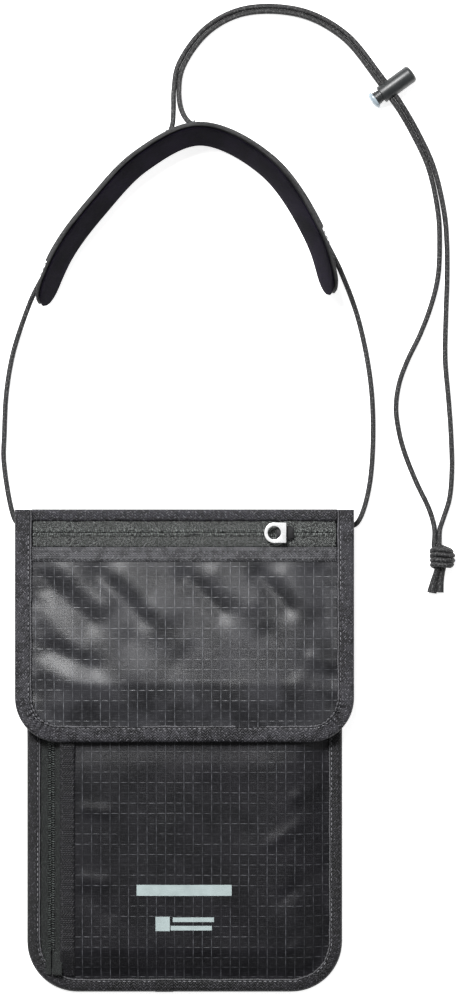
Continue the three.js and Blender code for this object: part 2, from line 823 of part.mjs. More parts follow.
// Tabs that hold the cord at the pouch's top corners
const cordTab = { reach: 2.3, span: [104, 111], height: [0.1, 2.8] };
[-1, 1].forEach((side) => {
  const inner = bodyWidth / 2 + seamGap;
  const [near, far] = [inner, inner + cordTab.reach].map((x) => side * x).sort((a, b) => a - b);
  const tab = slab([near, far], cordTab.span, cordTab.height);
  addPart(pouch, side < 0 ? "cord_tab_left" : "cord_tab_right", tab, bindingCloth);
});

// Stopper knot and the two cut tails
const knotCentre = new THREE.Vector3(122.9, 91.6, 4.1);
const knotHalf = new THREE.Vector3(6, 5.8, 4);
const knot = new THREE.SphereGeometry(1, 18, 12).scale(...knotHalf).translate(...knotCentre);
addPart(pouch, "stopper_knot", knot, cordBraid);
const tails = {
  cord_tail_left: [
    [120.5, 85.3, 2.4],
    [119.8, 82.4, 1.6],
    [118.6, 78.8, 1.35],
    [117.9, 75.8, 1.35],
  ],
  cord_tail_right: [
    [123.6, 85.2, 2.4],
    [123.4, 82.2, 1.6],
    [122.9, 78.6, 1.35],
    [122.3, 75.4, 1.35],
  ],
};
Object.entries(tails).forEach(([name, route]) =>
  addPart(pouch, name, tube(route.map(point), cordDiameter / 2, 4), cordBraid),
);

// Cord lock, in its own frame: X along the barrel from its open rim, the cord passing along Y

const lock = {
  radius: 4.3,
  boreRadius: 3.4,
  length: 18.3,
  floor: 2,
  cordX: 4,
  slotHalfLength: 3.1,
  slotHalfHeight: 1.65,
  stemRadius: 3.2,
  travel: 3,
  capRadius: 4.4,
  cap: [-5.9, -3.5],
  stemEnd: 9.5,
  springEnd: 15.6,
};

function alongBarrel(profile, sides = 24) {
  const points = profile.map(([radius, x]) => new THREE.Vector2(radius, x));
  return facingOut(new THREE.LatheGeometry(points, sides).rotateZ(-Math.PI / 2));
}

function roundSlot(x0, x1, halfHeight, halfDepth) {
  const slot = new THREE.Shape();
  slot.absarc(x1 - halfHeight, 0, halfHeight, -Math.PI / 2, Math.PI / 2, false);
  slot.absarc(x0 + halfHeight, 0, halfHeight, Math.PI / 2, (3 * Math.PI) / 2, false);
  const options = { depth: 2 * halfDepth, bevelEnabled: false, curveSegments: 6 };
  return new THREE.ExtrudeGeometry(slot, options).translate(0, 0, -halfDepth).rotateX(-Math.PI / 2);
}

const barrelProfile = [
  [0, lock.length],
  [2.6, lock.length],
  [3.7, lock.length - 0.7],
  [lock.radius, lock.length - 2],
  [lock.radius, 0.4],
  [lock.radius - 0.4, 0],
  [lock.boreRadius, 0],
  [lock.boreRadius, lock.length - lock.floor],
  [0, lock.length - lock.floor],
];
const barrelSlot = roundSlot(
  lock.cordX - lock.slotHalfLength,
  lock.cordX + lock.slotHalfLength,
  lock.slotHalfHeight,
  lock.radius + 1,
);
const plungerProfile = [
  [0, lock.stemEnd],
  [lock.stemRadius, lock.stemEnd],
  [lock.stemRadius, lock.cap[1]],
  [lock.capRadius, lock.cap[1]],
  [lock.capRadius, lock.cap[1] - 0.8],
  [lock.capRadius - 0.7, lock.cap[0] + 0.7],
  [lock.capRadius / 2, lock.cap[0] + 0.15],
  [0, lock.cap[0]],
];
const plungerSlot = roundSlot(
  lock.cordX - lock.slotHalfLength - lock.travel,
  lock.cordX + lock.slotHalfLength + 0.2,
  lock.slotHalfHeight,
  lock.radius + 1,
);
const springProfile = [
  [1.9, lock.stemEnd + 0.3],
  [2.9, lock.stemEnd + 0.3],
  [2.9, lock.springEnd],
  [1.9, lock.springEnd],
  [1.9, lock.stemEnd + 0.3],
];
const cordLock = new THREE.Group();
cordLock.position.copy(besideLock(0)).addScaledVector(lockAxis, -lock.cordX);
cordLock.rotation.z = lockAngle;
pouch.add(cordLock);
addPart(cordLock, "lock_barrel", cut(alongBarrel(barrelProfile), barrelSlot), lockPlastic);
addPart(cordLock, "lock_plunger", cut(alongBarrel(plungerProfile), plungerSlot), buttonPlastic);
addPart(cordLock, "lock_spring", alongBarrel(springProfile), springSteel);

export default pouch;
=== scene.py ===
import math

import bmesh
import bpy
import numpy as np
from mathutils import Matrix, Vector


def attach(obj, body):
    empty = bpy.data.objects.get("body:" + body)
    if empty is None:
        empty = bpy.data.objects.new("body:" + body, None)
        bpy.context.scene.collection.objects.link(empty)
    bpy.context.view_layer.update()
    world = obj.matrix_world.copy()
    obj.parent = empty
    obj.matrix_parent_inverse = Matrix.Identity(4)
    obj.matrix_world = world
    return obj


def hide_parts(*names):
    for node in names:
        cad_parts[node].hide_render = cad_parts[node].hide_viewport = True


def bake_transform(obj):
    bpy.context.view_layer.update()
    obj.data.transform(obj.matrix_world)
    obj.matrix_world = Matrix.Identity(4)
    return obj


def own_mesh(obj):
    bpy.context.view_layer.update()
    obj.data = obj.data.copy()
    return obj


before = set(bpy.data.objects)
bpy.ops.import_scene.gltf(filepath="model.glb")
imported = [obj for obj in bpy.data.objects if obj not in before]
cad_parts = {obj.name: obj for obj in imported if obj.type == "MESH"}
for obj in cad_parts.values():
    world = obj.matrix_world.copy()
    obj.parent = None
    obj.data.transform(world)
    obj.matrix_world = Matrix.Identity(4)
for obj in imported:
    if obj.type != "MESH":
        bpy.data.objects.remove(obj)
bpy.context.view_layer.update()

mm = 0.001


def deselect():
    if bpy.context.object and bpy.context.object.mode != "OBJECT":
        bpy.ops.object.mode_set(mode="OBJECT")
    bpy.ops.object.select_all(action="DESELECT")


def choose(piece):
    deselect()
    piece.select_set(True)
    bpy.context.view_layer.objects.active = piece


def named(name):
    piece = bpy.context.object
    piece.name = name
    piece.data.name = name
    return piece


def editing(piece):
    choose(piece)
    bpy.ops.object.mode_set(mode="EDIT")
    bpy.ops.mesh.select_all(action="SELECT")


def pick(piece, test, kind="FACE"):
    # selects faces, edges or corners by their place, and stays in edit mode
    choose(piece)
    bpy.ops.object.mode_set(mode="EDIT")
    bpy.ops.mesh.select_mode(type=kind)
    bpy.ops.mesh.select_all(action="DESELECT")
    mesh = bmesh.from_edit_mesh(piece.data)
    parts = {"FACE": mesh.faces, "EDGE": mesh.edges, "VERT": mesh.verts}[kind]
    for part in parts:
        part.select_set(bool(test(part)))
    mesh.select_flush_mode()
    bmesh.update_edit_mesh(piece.data)


def midOf(edge):
    return (edge.verts[0].co + edge.verts[1].co) / 2


def doneEditing():
    bpy.ops.object.mode_set(mode="OBJECT")


def useModifier(piece, kind, **settings):
    choose(piece)
    modifier = piece.modifiers.new(kind.title(), kind)
    for key, value in settings.items():
        setattr(modifier, key, value)
    bpy.ops.object.modifier_apply(modifier=modifier.name)
    return piece


def softShade(piece, angle=40):
    choose(piece)
    bpy.ops.object.shade_smooth_by_angle(angle=math.radians(angle))
    return piece


def moveMesh(piece, matrix):
    piece.data.transform(matrix)
    piece.data.update()
    return piece


def joined(pieces, name):
    deselect()
    for piece in pieces:
        piece.select_set(True)
    bpy.context.view_layer.objects.active = pieces[0]
    bpy.ops.object.join()
    return named(name)


def settle(piece, body, replaced, material):
    piece.data.materials.clear()
    piece.data.materials.append(material)
    if replaced:
        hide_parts(*replaced)
    if body:
        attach(piece, body)
    return piece


# Lines in space

def smoothLine(points, perSpan=24):
    # a smooth run through given points, in metres
    p = np.array(points, float)
    p = np.vstack([2 * p[0] - p[1], p, 2 * p[-1] - p[-2]])
    found = []
    for i in range(1, len(p) - 2):
        q = p[i - 1:i + 3]
        knots = np.concatenate([[0], np.cumsum(np.sqrt(np.linalg.norm(np.diff(q, axis=0), axis=1)))])
        t = np.linspace(knots[1], knots[2], perSpan, endpoint=False)[:, None]
        first = [((knots[k + 1] - t) * q[k] + (t - knots[k]) * q[k + 1]) / (knots[k + 1] - knots[k])
                 for k in range(3)]
        second = [((knots[k + 2] - t) * first[k] + (t - knots[k]) * first[k + 1]) / (knots[k + 2] - knots[k])
                  for k in range(2)]
        found.append(((knots[2] - t) * second[0] + (t - knots[1]) * second[1]) / (knots[2] - knots[1]))
    return np.vstack([*found, p[-2:-1]])


def distances(line):
    return np.concatenate([[0], np.cumsum(np.linalg.norm(np.diff(line, axis=0), axis=1))])


def alongLine(line, where):
    # points and headings at distances along a line
    run = distances(line)
    where = np.asarray(where, float)

    def at(w):
        return np.stack([np.interp(w, run, line[:, k]) for k in range(3)], axis=-1)

    step = run[-1] / 2000
    ahead = at(np.minimum(where + step, run[-1])) - at(np.maximum(where - step, 0))
    return at(where), ahead / np.linalg.norm(ahead, axis=-1, keepdims=True)


def arc(centre, radius, start, end, count=16):
    turns = [math.radians(start + (end - start) * k / count) for k in range(count + 1)]
    return [(centre[0] + radius * math.cos(a), centre[1] + radius * math.sin(a), 0) for a in turns]


# Cloth, tape and cord: each is a flat grid cut to size, then laid where it goes

def layCloth(name, width, length, step, place, thickness=0, origin=(0, 0), wrap=False):
    deselect()
    across = max(2, round(width / step[0]))
    down = max(2, round(length / step[1]))
    bpy.ops.mesh.primitive_grid_add(x_subdivisions=across, y_subdivisions=down, size=1, location=(0, 0, 0))
    piece = named(name)
    mesh = piece.data
    flat = np.zeros(len(mesh.vertices) * 3)
    mesh.vertices.foreach_get("co", flat)
    flat = flat.reshape(-1, 3)
    a, b = (flat[:, 0] + 0.5) * width + origin[0], (flat[:, 1] + 0.5) * length + origin[1]
    laid = place(a, b)
    mesh.vertices.foreach_set("co", np.ascontiguousarray(laid, float).ravel())
    cloth = np.zeros(len(mesh.loops) * 2)
    mesh.uv_layers.active.data.foreach_get("uv", cloth)
    cloth = cloth.reshape(-1, 2) * (width, length) + origin
    mesh.uv_layers.active.data.foreach_set("uv", cloth.ravel())
    mesh.update()
    if wrap:
        editing(piece)
        bpy.ops.mesh.remove_doubles(threshold=0.00001)
        bpy.ops.mesh.select_mode(type="EDGE")
        bpy.ops.mesh.select_all(action="DESELECT")
        bpy.ops.mesh.select_non_manifold()
        bpy.ops.mesh.edge_face_add()
        bpy.ops.mesh.select_all(action="SELECT")
        bpy.ops.mesh.normals_make_consistent(inside=False)
        doneEditing()
    if thickness:
        useModifier(piece, "SOLIDIFY", thickness=thickness, offset=0)
    choose(piece)
    bpy.ops.object.shade_smooth()
    return piece


def roundTube(name, line, radius, step, sides, bumps=None, section=(1, 1), side=None):
    # a tube along a line; the cloth grid's width goes round it
    total = distances(line)[-1]
    girth = 2 * math.pi * radius

    def place(a, b):
        at, ahead = alongLine(line, b)
        up = np.zeros_like(at)
        up[:, 2] = 1
        if side is not None:
            up = np.broadcast_to(side, at.shape)
        left = np.cross(up, ahead)
        left /= np.linalg.norm(left, axis=1, keepdims=True)
        over = np.cross(ahead, left)
        turn = a / girth * 2 * math.pi
        r = radius * (1 + (bumps(turn, b) if bumps else 0))
        wide = section[0](b / total) if callable(section[0]) else section[0]
        high = section[1](b / total) if callable(section[1]) else section[1]
        return at + left * (r * wide * np.cos(turn))[:, None] + over * (r * high * np.sin(turn))[:, None]

    return layCloth(name, girth, total, (girth / sides, step), place, wrap=True)


def copyTo(one, name, places):
    # one small model, repeated at each place in a single mesh
    co = np.array([v.co for v in one.data.vertices])
    faces = [tuple(face.vertices) for face in one.data.polygons]
    allCo, allFaces = [], []
    for i, place in enumerate(places):
        m = np.array(place)
        allCo.append(co @ m[:3, :3].T + m[:3, 3])
        allFaces += [tuple(v + i * len(co) for v in face) for face in faces]
    mesh = bpy.data.meshes.new(name)
    mesh.from_pydata(np.vstack(allCo).tolist(), [], allFaces)
    piece = bpy.data.objects.new(name, mesh)
    bpy.context.scene.collection.objects.link(piece)
    choose(piece)
    bpy.ops.object.shade_smooth()
    return piece


def frameAt(at, ahead, up=(0, 0, 1)):
    # a matrix whose X runs ahead and whose Z is as near up as it can be
    x = Vector(ahead).normalized()
    y = Vector(up).cross(x).normalized()
    z = x.cross(y)
    matrix = Matrix((x, y, z)).transposed().to_4x4()
    matrix.translation = Vector(at)
    return matrix


# Materials

class Num:
    # a value in a material, so that its sums read as sums
    def __init__(self, finish, socket):
        self.finish, self.socket = finish, socket

    def __add__(self, other):
        return self.finish.sum("ADD", self, other)

    def __sub__(self, other):
        return self.finish.sum("SUBTRACT", self, other)

    def __rsub__(self, other):
        return self.finish.sum("SUBTRACT", other, self)

    def __mul__(self, other):
        return self.finish.sum("MULTIPLY", self, other)

    def __truediv__(self, other):
        return self.finish.sum("DIVIDE", self, other)

    __radd__, __rmul__ = __add__, __mul__


class Finish:
    def __init__(self, name, **constants):
        self.material = bpy.data.materials.new(name)
        self.material.use_nodes = True
        self.tree = self.material.node_tree
        self.shader = self.tree.nodes["Principled BSDF"]
        for key, value in constants.items():
            self.shader.inputs[key.replace("_", " ")].default_value = value

    def add(self, kind, settings=None, sockets=None, output=0):
        node = self.tree.nodes.new("ShaderNode" + kind)
        for key, value in (settings or {}).items():
            if key == "stops":
                for element, (position, colour) in zip(node.color_ramp.elements, value):
                    element.position, element.color = position, colour
            else:
                setattr(node, key, value)
        for key, value in (sockets or {}).items():
            if isinstance(value, Num):
                self.tree.links.new(value.socket, node.inputs[key])
            else:
                node.inputs[key].default_value = value
        return Num(self, node.outputs[output])

    def sum(self, operation, a, b=0, c=0):
        return self.add("Math", {"operation": operation}, {0: a, 1: b, 2: c})

    def flatPlace(self):
        return self.add("UVMap")

    def part(self, vector, axis):
        return self.add("SeparateXYZ", None, {0: vector}, axis)

    def vector(self, x, y, z=0):
        return self.add("CombineXYZ", None, {0: x, 1: y, 2: z})

    def noise(self, place, scale, detail=2, rough=0.5):
        sockets = {"Vector": place, "Scale": scale, "Detail": detail, "Roughness": rough}
        return self.add("TexNoise", None, sockets)

    def wave(self, value, pitch, phase=0):
        return self.sum("SINE", value * (2 * math.pi / pitch) + phase)

    def lineAt(self, value, pitch, half, soft):
        # 1 on lines a pitch apart, 0 between them
        far = self.sum("PINGPONG", value, pitch / 2)
        return self.clamp((half - far) / soft)

    def clamp(self, value):
        return self.add("Clamp", None, {0: value})

    def between(self, value, low, high):
        return self.add("MapRange", {"interpolation_type": "SMOOTHSTEP"}, {0: value, 1: low, 2: high})

    def mix(self, share, a, b):
        colours = [c if isinstance(c, Num) else (*c, 1) for c in (a, b)]
        return self.add("Mix", {"data_type": "RGBA"}, {0: share, 6: colours[0], 7: colours[1]}, 2)

    def wear(self, colour=None, roughness=None, height=None, strength=0.5, depth=0.0001):
        for key, value in (("Base Color", colour), ("Roughness", roughness)):
            if value is not None:
                self.tree.links.new(value.socket, self.shader.inputs[key])
        if height is not None:
            bump = self.add("Bump", None, {"Height": height, "Strength": strength, "Distance": depth})
            self.tree.links.new(bump.socket, self.shader.inputs["Normal"])
        return self.material


ripstopLook = {
    "gridAcross": 4.4 * mm,
    "gridDown": 4.9 * mm,
    "dark": (0.005, 0.005, 0.0065),
    "light": (0.011, 0.0108, 0.0135),
    # the pale thread colour is painted sheen on the ripstop's grid threads and weave
    "threadSheen": (0.17, 0.175, 0.19),
    "print": (0.42, 0.5, 0.5),
    "shine": 0.3,
}


def ripstopFinish(name, look, marks=()):
    f = Finish(name, Roughness=0.36, Specular_IOR_Level=look["shine"])
    uv = f.flatPlace()
    drift = f.noise(uv, 40) * (0.5 * mm)
    u = f.part(uv, 0) + drift
    v = f.part(uv, 1) + drift
    broken = f.noise(uv, 210, 1)
    patchy = f.noise(uv, 55, 3)
    litAcross = f.between(f.noise(f.vector(u * 30, v * 230), 1, 2), 0.4, 0.64)
    litDown = f.between(f.noise(f.vector(u * 230, v * 30), 1, 2), 0.42, 0.62)
    upright = f.lineAt(u, look["gridAcross"], 0.21 * mm, 0.12 * mm)
    level = f.lineAt(v, look["gridDown"], 0.18 * mm, 0.12 * mm)
    cellU = f.wave(u, 2 * look["gridAcross"])
    cellV = f.wave(v, 2 * look["gridDown"])
    upright = upright * (0.25 + 0.75 * litDown) * (0.35 + 0.65 * cellV * cellV)
    level = level * (0.2 + 0.8 * litAcross) * (0.15 + 0.85 * cellU * cellU)
    lines = f.sum("MAXIMUM", upright, level)
    weft = f.noise(f.vector(u * 260, v * 2600), 1, 2)
    warp = f.noise(f.vector(u * 2600, v * 260), 1, 2)
    weave = f.wave(u, 0.42 * mm) * f.wave(v, 0.42 * mm)
    base = f.mix(f.between(patchy, 0.35, 0.65), look["dark"], look["light"])
    # painted sheen: the weft and warp dashes and the grid lines are mixed to a pale thread colour that stands
    # for light caught by the threads; the grid threads themselves are real and raised in the bump
    base = f.mix(f.between(weft, 0.52, 0.75) * 0.1, base, look["threadSheen"])
    base = f.mix(f.between(warp, 0.54, 0.75) * 0.07, base, look["threadSheen"])
    base = f.mix(f.clamp(lines * (0.3 + 0.9 * broken)), base, look["threadSheen"])
    roughness = 0.3 + 0.1 * patchy + 0.08 * weft
    height = lines * 0.9 + weave * 0.15 + weft * 0.45 + warp * 0.45
    if marks:
        shown = 0
        for (x, y), (width, tall) in marks:
            inX = f.sum("LESS_THAN", f.sum("ABSOLUTE", f.part(uv, 0) - x), width / 2)
            inY = f.sum("LESS_THAN", f.sum("ABSOLUTE", f.part(uv, 1) - y), tall / 2)
            shown = f.sum("MAXIMUM", shown, inX * inY)
        base = f.mix(shown * (0.86 - 0.25 * broken), base, look["print"])
        roughness = roughness + 0.12 * shown
    return f.wear(base, roughness, height, 0.55, 0.00016)


tapeLook = {
    "dark": (0.007, 0.0068, 0.0085),
    "light": (0.026, 0.0255, 0.03),
    "fleck": (0.17, 0.167, 0.185),
    "rim": (0.17, 0.17, 0.18),
}


def tapeFinish(name, look, rib=0.55 * mm, sewn=True):
    # woven binding: ribs across it, a mottled tone and pale flecks
    # sewn tape also has a light rim and a groove that the stitches lie in; the groove and the tape's inner
    # edge are painted dark, as shade
    f = Finish(name, Roughness=0.6, Specular_IOR_Level=0.3)
    uv = f.flatPlace()
    u, v = f.part(uv, 0), f.part(uv, 1)
    mottle = f.noise(uv, 190, 3, 0.65)
    slow = f.noise(uv, 28, 2)
    ribs = f.wave(v, rib)
    zigzag = f.sum("PINGPONG", v, 1.6 * mm) + u
    twill = f.wave(zigzag, 1.3 * mm)
    base = f.mix(f.between(mottle * 0.7 + slow * 0.3, 0.44, 0.56), look["dark"], look["light"])
    fleck = f.between(f.noise(uv, 900, 1), 0.5, 0.68) * f.between(twill, 0.1, 0.9)
    base = f.mix(fleck * 0.75, base, look["fleck"])
    height = ribs * 0.3 + twill * 0.5 + mottle * 1.1
    if sewn:
        rim = f.clamp(1 - f.sum("ABSOLUTE", u - 0.6 * mm) / (0.3 * mm))
        base = f.mix(rim * (0.25 + 0.75 * mottle), base, look["rim"])
        # painted shade: the stitch groove and the inner edge, where the tape meets the panel, are mixed to
        # near black below
        grooveWithShade = f.clamp(1.4 - f.sum("ABSOLUTE", u - 1.45 * mm) / (0.35 * mm))
        innerEdgeShade = f.clamp(1.2 - u / (0.25 * mm))
        base = f.mix(f.sum("MAXIMUM", grooveWithShade, innerEdgeShade) * 0.8, base, (0.003, 0.003, 0.004))
        height = height - grooveWithShade
    return f.wear(base, 0.44 + 0.2 * mottle, height, 0.75, 0.0002)


def zipTapeFinish(name, light):
    # knitted tape: small pale loops in rows on a dark ground
    f = Finish(name, Roughness=0.6, Specular_IOR_Level=0.35)
    uv = f.flatPlace()
    drift = f.noise(uv, 260, 2) * (2.4 * mm)
    u, v = f.part(uv, 0) + drift, f.part(uv, 1) + drift
    loops = f.wave(u, 0.95 * mm) * f.wave(v, 1.1 * mm, 0.8)
    grain = f.noise(uv, 1500, 2, 0.8)
    shown = f.between(loops * 0.12 + grain, 0.49, 0.6)
    slow = f.noise(uv, 140, 2)
    base = f.mix(f.clamp(shown * (0.25 + slow)), (0.003, 0.0035, 0.0035), light)
    return f.wear(base, 0.5 + 0.2 * grain, shown, 0.8, 0.00025)


def coilFinish(name, light):
    f = Finish(name, Roughness=0.4, Specular_IOR_Level=0.4)
    at = f.add("TexCoord", None, None, 3)
    grain = f.noise(at, 1100, 2, 0.8)
    base = f.mix(f.between(grain, 0.45, 0.6), (0.006, 0.007, 0.007), light)
    return f.wear(base, 0.3 + 0.2 * grain, grain, 0.4, 0.00015)


def cordFinish(name):
    # a braid: two sets of slanting strands that cross, with pale flecks
    f = Finish(name, Roughness=0.6, Specular_IOR_Level=0.3)
    uv = f.flatPlace()
    u, v = f.part(uv, 0), f.part(uv, 1)
    oneWay = f.wave(u * 1.02 + v, 1.31 * mm)
    other = f.wave(u * 1.02 - v, 1.31 * mm)
    cells = oneWay * other
    grain = f.noise(uv, 1100, 2, 0.6)
    slow = f.noise(uv, 90, 2)
    base = f.mix(f.between(cells, -0.3, 0.8), (0.006, 0.006, 0.0065), (0.026, 0.026, 0.027))
    fleck = f.between(grain + 0.1 * cells, 0.53, 0.66) * (0.3 + 0.5 * slow)
    base = f.mix(fleck, base, (0.16, 0.16, 0.16))
    return f.wear(base, 0.5 + 0.25 * grain, cells + 0.4 * grain, 0.5, 0.0001)


def plainCloth(name, dark, light, pitch, roughness=0.7, lift=0.5, shine=0.16):
    f = Finish(name, Roughness=roughness, Specular_IOR_Level=shine)
    uv = f.flatPlace()
    u, v = f.part(uv, 0), f.part(uv, 1)
    weave = f.wave(u, pitch) * f.wave(v, pitch)
    slow = f.noise(uv, 70, 3)
    fine = f.noise(uv, 700, 2)
    base = f.mix(f.between(slow * 0.6 + fine * 0.4, 0.36, 0.64), dark, light)
    base = f.mix(f.clamp(weave) * 0.25, base, light)
    return f.wear(base, roughness - 0.1 + 0.2 * fine, weave * 0.6 + fine * 0.6, lift, 0.00014)


def threadFinish(name, dark, light):
    f = Finish(name, Roughness=0.5, Specular_IOR_Level=0.4)
    at = f.add("TexCoord", None, None, 3)
    twist = f.noise(at, 1600, 2)
    patchy = f.noise(at, 120, 1)
    base = f.mix(f.between(patchy, 0.4, 0.6), dark, light)
    return f.wear(base, 0.4 + 0.2 * twist, twist, 0.4, 0.00008)


def hardFinish(name, dark, light, low, high, grainSize=260, **constants):
    f = Finish(name, **constants)
    at = f.add("TexCoord", None, None, 3)
    cloud = f.noise(at, grainSize, 3)
    fine = f.noise(at, 2600, 2)
    base = f.mix(cloud, dark, light)
    return f.wear(base, low + (high - low) * cloud, fine, 0.12, 0.00005)


def fuzzFinish(name, dark, light):
    f = Finish(name, Roughness=0.9, Sheen_Weight=0.1, Sheen_Roughness=0.5, Specular_IOR_Level=0.3)
    at = f.add("TexCoord", None, None, 3)
    tuft = f.noise(at, 1400, 3, 0.7)
    slow = f.noise(at, 160, 2)
    base = f.mix(f.between(tuft * 0.7 + slow * 0.3, 0.35, 0.65), dark, light)
    return f.wear(base, 0.75 + 0.2 * slow, tuft, 0.8, 0.0003)


print("materials")
frontMarks = [
    ((-0.0002, -0.0662), (0.0452, 0.0052)),
    ((-0.0104, -0.0822), (0.0068, 0.0068)),
    ((0.0042, -0.0802), (0.0196, 0.0022)),
    ((0.0032, -0.0842), (0.0196, 0.0022)),
]
# painted light: the flap and back use a ripstop copy with a lighter base, standing in for the light the flap
# catches; the front panel's copy has a darker base and dimmer threads, as painted shade
ripstopLit = ripstopFinish("ripstopLitCloth", {**ripstopLook, "dark": (0.005, 0.005, 0.0065),
                                         "light": (0.02, 0.02, 0.0235), "shine": 0.52})
ripstopFrontShaded = ripstopFinish("ripstopFrontShadedCloth", {**ripstopLook, "dark": (0.003, 0.003, 0.004),
                                                   "light": (0.0065, 0.0062, 0.008),
                                                   "threadSheen": (0.105, 0.108, 0.12), "shine": 0.22}, frontMarks)
# painted light: the flap's seam band gets a lighter tone where it faces the lamp, and the front's seam band a
# near-black copy as painted shade
seamLookLit = {"dark": (0.03, 0.03, 0.033), "light": (0.06, 0.06, 0.065), "fleck": (0.17, 0.17, 0.18)}
seamBandClothLit = tapeFinish("seamBandClothLit", seamLookLit, 0.9 * mm, False)
frontBandLookShaded = {
    "dark": (0.002, 0.002, 0.003),
    "light": (0.005, 0.0048, 0.0065),
    "fleck": (0.03, 0.029, 0.035),
}
frontBandClothShaded = tapeFinish("frontBandClothShaded", {**tapeLook, **frontBandLookShaded}, 0.9 * mm, False)
bindingTape = tapeFinish("bindingTape", tapeLook)
# painted shade: a darker copy of the binding tape for the body's binding, standing in for the shade on the
# pouch's lower front edge
bodyTapeLookShaded = {
    "dark": (0.0025, 0.0025, 0.003),
    "light": (0.007, 0.0068, 0.0085),
    "fleck": (0.085, 0.083, 0.095),
}
bodyTapeShaded = tapeFinish("bodyTapeShaded", {**tapeLook, **bodyTapeLookShaded})
topTape = tapeFinish("topBindingTape", {**tapeLook, "light": (0.016, 0.0155, 0.02)}, 0.8 * mm, False)
ribbonTape = tapeFinish("ribbonTape", tapeLook, 0.8 * mm, False)
zipTape = zipTapeFinish("zipTape", (0.22, 0.232, 0.224))
zipTapeDark = zipTapeFinish("zipTapeDark", (0.045, 0.052, 0.049))
zipCoil = coilFinish("zipCoil", (0.2, 0.215, 0.205))
zipCoilDark = coilFinish("zipCoilDark", (0.06, 0.07, 0.065))
cordBraid = cordFinish("cordBraid")
liningCloth = plainCloth("liningCloth", (0.008, 0.008, 0.01), (0.018, 0.018, 0.021), 0.5 * mm)
padMesh = plainCloth("padMesh", (0.002, 0.0016, 0.0035), (0.008, 0.006, 0.013), 0.9 * mm, 0.8,
                     shine=0.03)
padCloth = plainCloth("padCloth", (0.014, 0.014, 0.0145), (0.042, 0.042, 0.043), 0.5 * mm, 0.6)
sleeveCloth = plainCloth("sleeveCloth", (0.02, 0.02, 0.0205), (0.05, 0.05, 0.051), 0.45 * mm, 0.55)
darkThread = threadFinish("darkThread", (0.004, 0.004, 0.005), (0.03, 0.03, 0.033))
paleThread = threadFinish("paleThread", (0.05, 0.05, 0.055), (0.2, 0.2, 0.215))
shieldFilm = hardFinish("shieldFilm", (0.5, 0.51, 0.53), (0.68, 0.69, 0.71), 0.25, 0.4, 60, Metallic=1)
hookLoop = fuzzFinish("hookLoop", (0.006, 0.006, 0.007), (0.03, 0.03, 0.034))
sliderMetal = hardFinish("sliderMetal", (0.008, 0.008, 0.009), (0.022, 0.022, 0.023), 0.3, 0.45, Metallic=0.3)
pullMetal = hardFinish("pullMetal", (0.82, 0.83, 0.84), (0.95, 0.95, 0.95), 0.2, 0.34, Metallic=0.55)
lockPlastic = hardFinish("lockPlastic", (0.01, 0.0115, 0.012), (0.02, 0.0225, 0.0235), 0.34, 0.46)
buttonPlastic = hardFinish("buttonPlastic", (0.2, 0.25, 0.29), (0.34, 0.4, 0.44), 0.16, 0.26, Coat_Weight=0.4)
springSteel = hardFinish("springSteel", (0.45, 0.45, 0.46), (0.65, 0.65, 0.66), 0.25, 0.4, Metallic=1)


# Camera, straight above the pouch, and a soft studio

camera = bpy.data.objects.new("camera", bpy.data.cameras.new("camera"))
bpy.context.scene.collection.objects.link(camera)
bpy.context.scene.camera = camera
cameraView = {"lens": 150, "tall": 0.4743, "centre": (0.0207, 0.1205), "level": 0.007}
camera.data.lens = cameraView["lens"]
camera.data.sensor_width = 36
cameraHeight = cameraView["tall"] * camera.data.lens / camera.data.sensor_width
camera.location = (*cameraView["centre"], cameraView["level"] + cameraHeight)
camera.data.clip_start, camera.data.clip_end = 0.05, 30

bpy.ops.mesh.primitive_plane_add(size=8, location=(0, 0, -0.0003))
floor = named("floor")
floorFinish = Finish("floorPaper", Roughness=0.9, Emission_Color=(1, 1, 1, 1), Emission_Strength=0.75)
paper = floorFinish.noise(floorFinish.add("TexCoord", None, None, 3), 3, 2)
floor.data.materials.append(floorFinish.wear(floorFinish.mix(paper, (0.93, 0.93, 0.93), (0.96, 0.96, 0.96))))

studio = {
    "world": 0.25,
    "lamps": [  # place, size, power
        ((-0.55, 1.22, 1.75), 0.66, 84),
        ((1.6, 0.5, 1.5), 0.9, 5),
    ],
}
bpy.context.scene.view_settings.view_transform = "Standard"
world = bpy.data.worlds.new("studio")
bpy.context.scene.world = world
world.use_nodes = True
world.node_tree.nodes["Background"].inputs[0].default_value = (1, 1, 1, 1)
world.node_tree.nodes["Background"].inputs[1].default_value = studio["world"]
for i, (place, size, power) in enumerate(studio["lamps"]):
    lamp = bpy.data.objects.new(f"softbox{i}", bpy.data.lights.new(f"softbox{i}", "AREA"))
    lamp.data.shape, lamp.data.size, lamp.data.energy = "SQUARE", size, power
    lamp.location = place
    lamp.rotation_euler = (Vector((0.02, 0.12, 0)) - Vector(place)).to_track_quat("-Z", "Y").to_euler()
    bpy.context.scene.collection.objects.link(lamp)


print("cords")
cords = {"radius": 1.25 * mm, "apart": 1.25, "sides": 20, "step": 0.3 * mm}
lockTurn = math.radians(36)
lockAxis = np.array([math.cos(lockTurn), math.sin(lockTurn), 0])
lockRun = np.array([math.sin(lockTurn), -math.cos(lockTurn), 0])
lockCentre = np.array([97, 315, 4.5])

doubledLine = [
    (-3.9, 315, 4.6), (-1.8, 327, 1.5), (10.8, 344.1, 1.35), (28.8, 353.1, 1.35),
    (55.8, 352.2, 1.35), (76.4, 341.2, 1.6),
    *[tuple(lockCentre + lockRun * distance) for distance in (-9, 0, 9)],
    (110, 294.9, 2), (117.6, 278.4, 1.35),
]


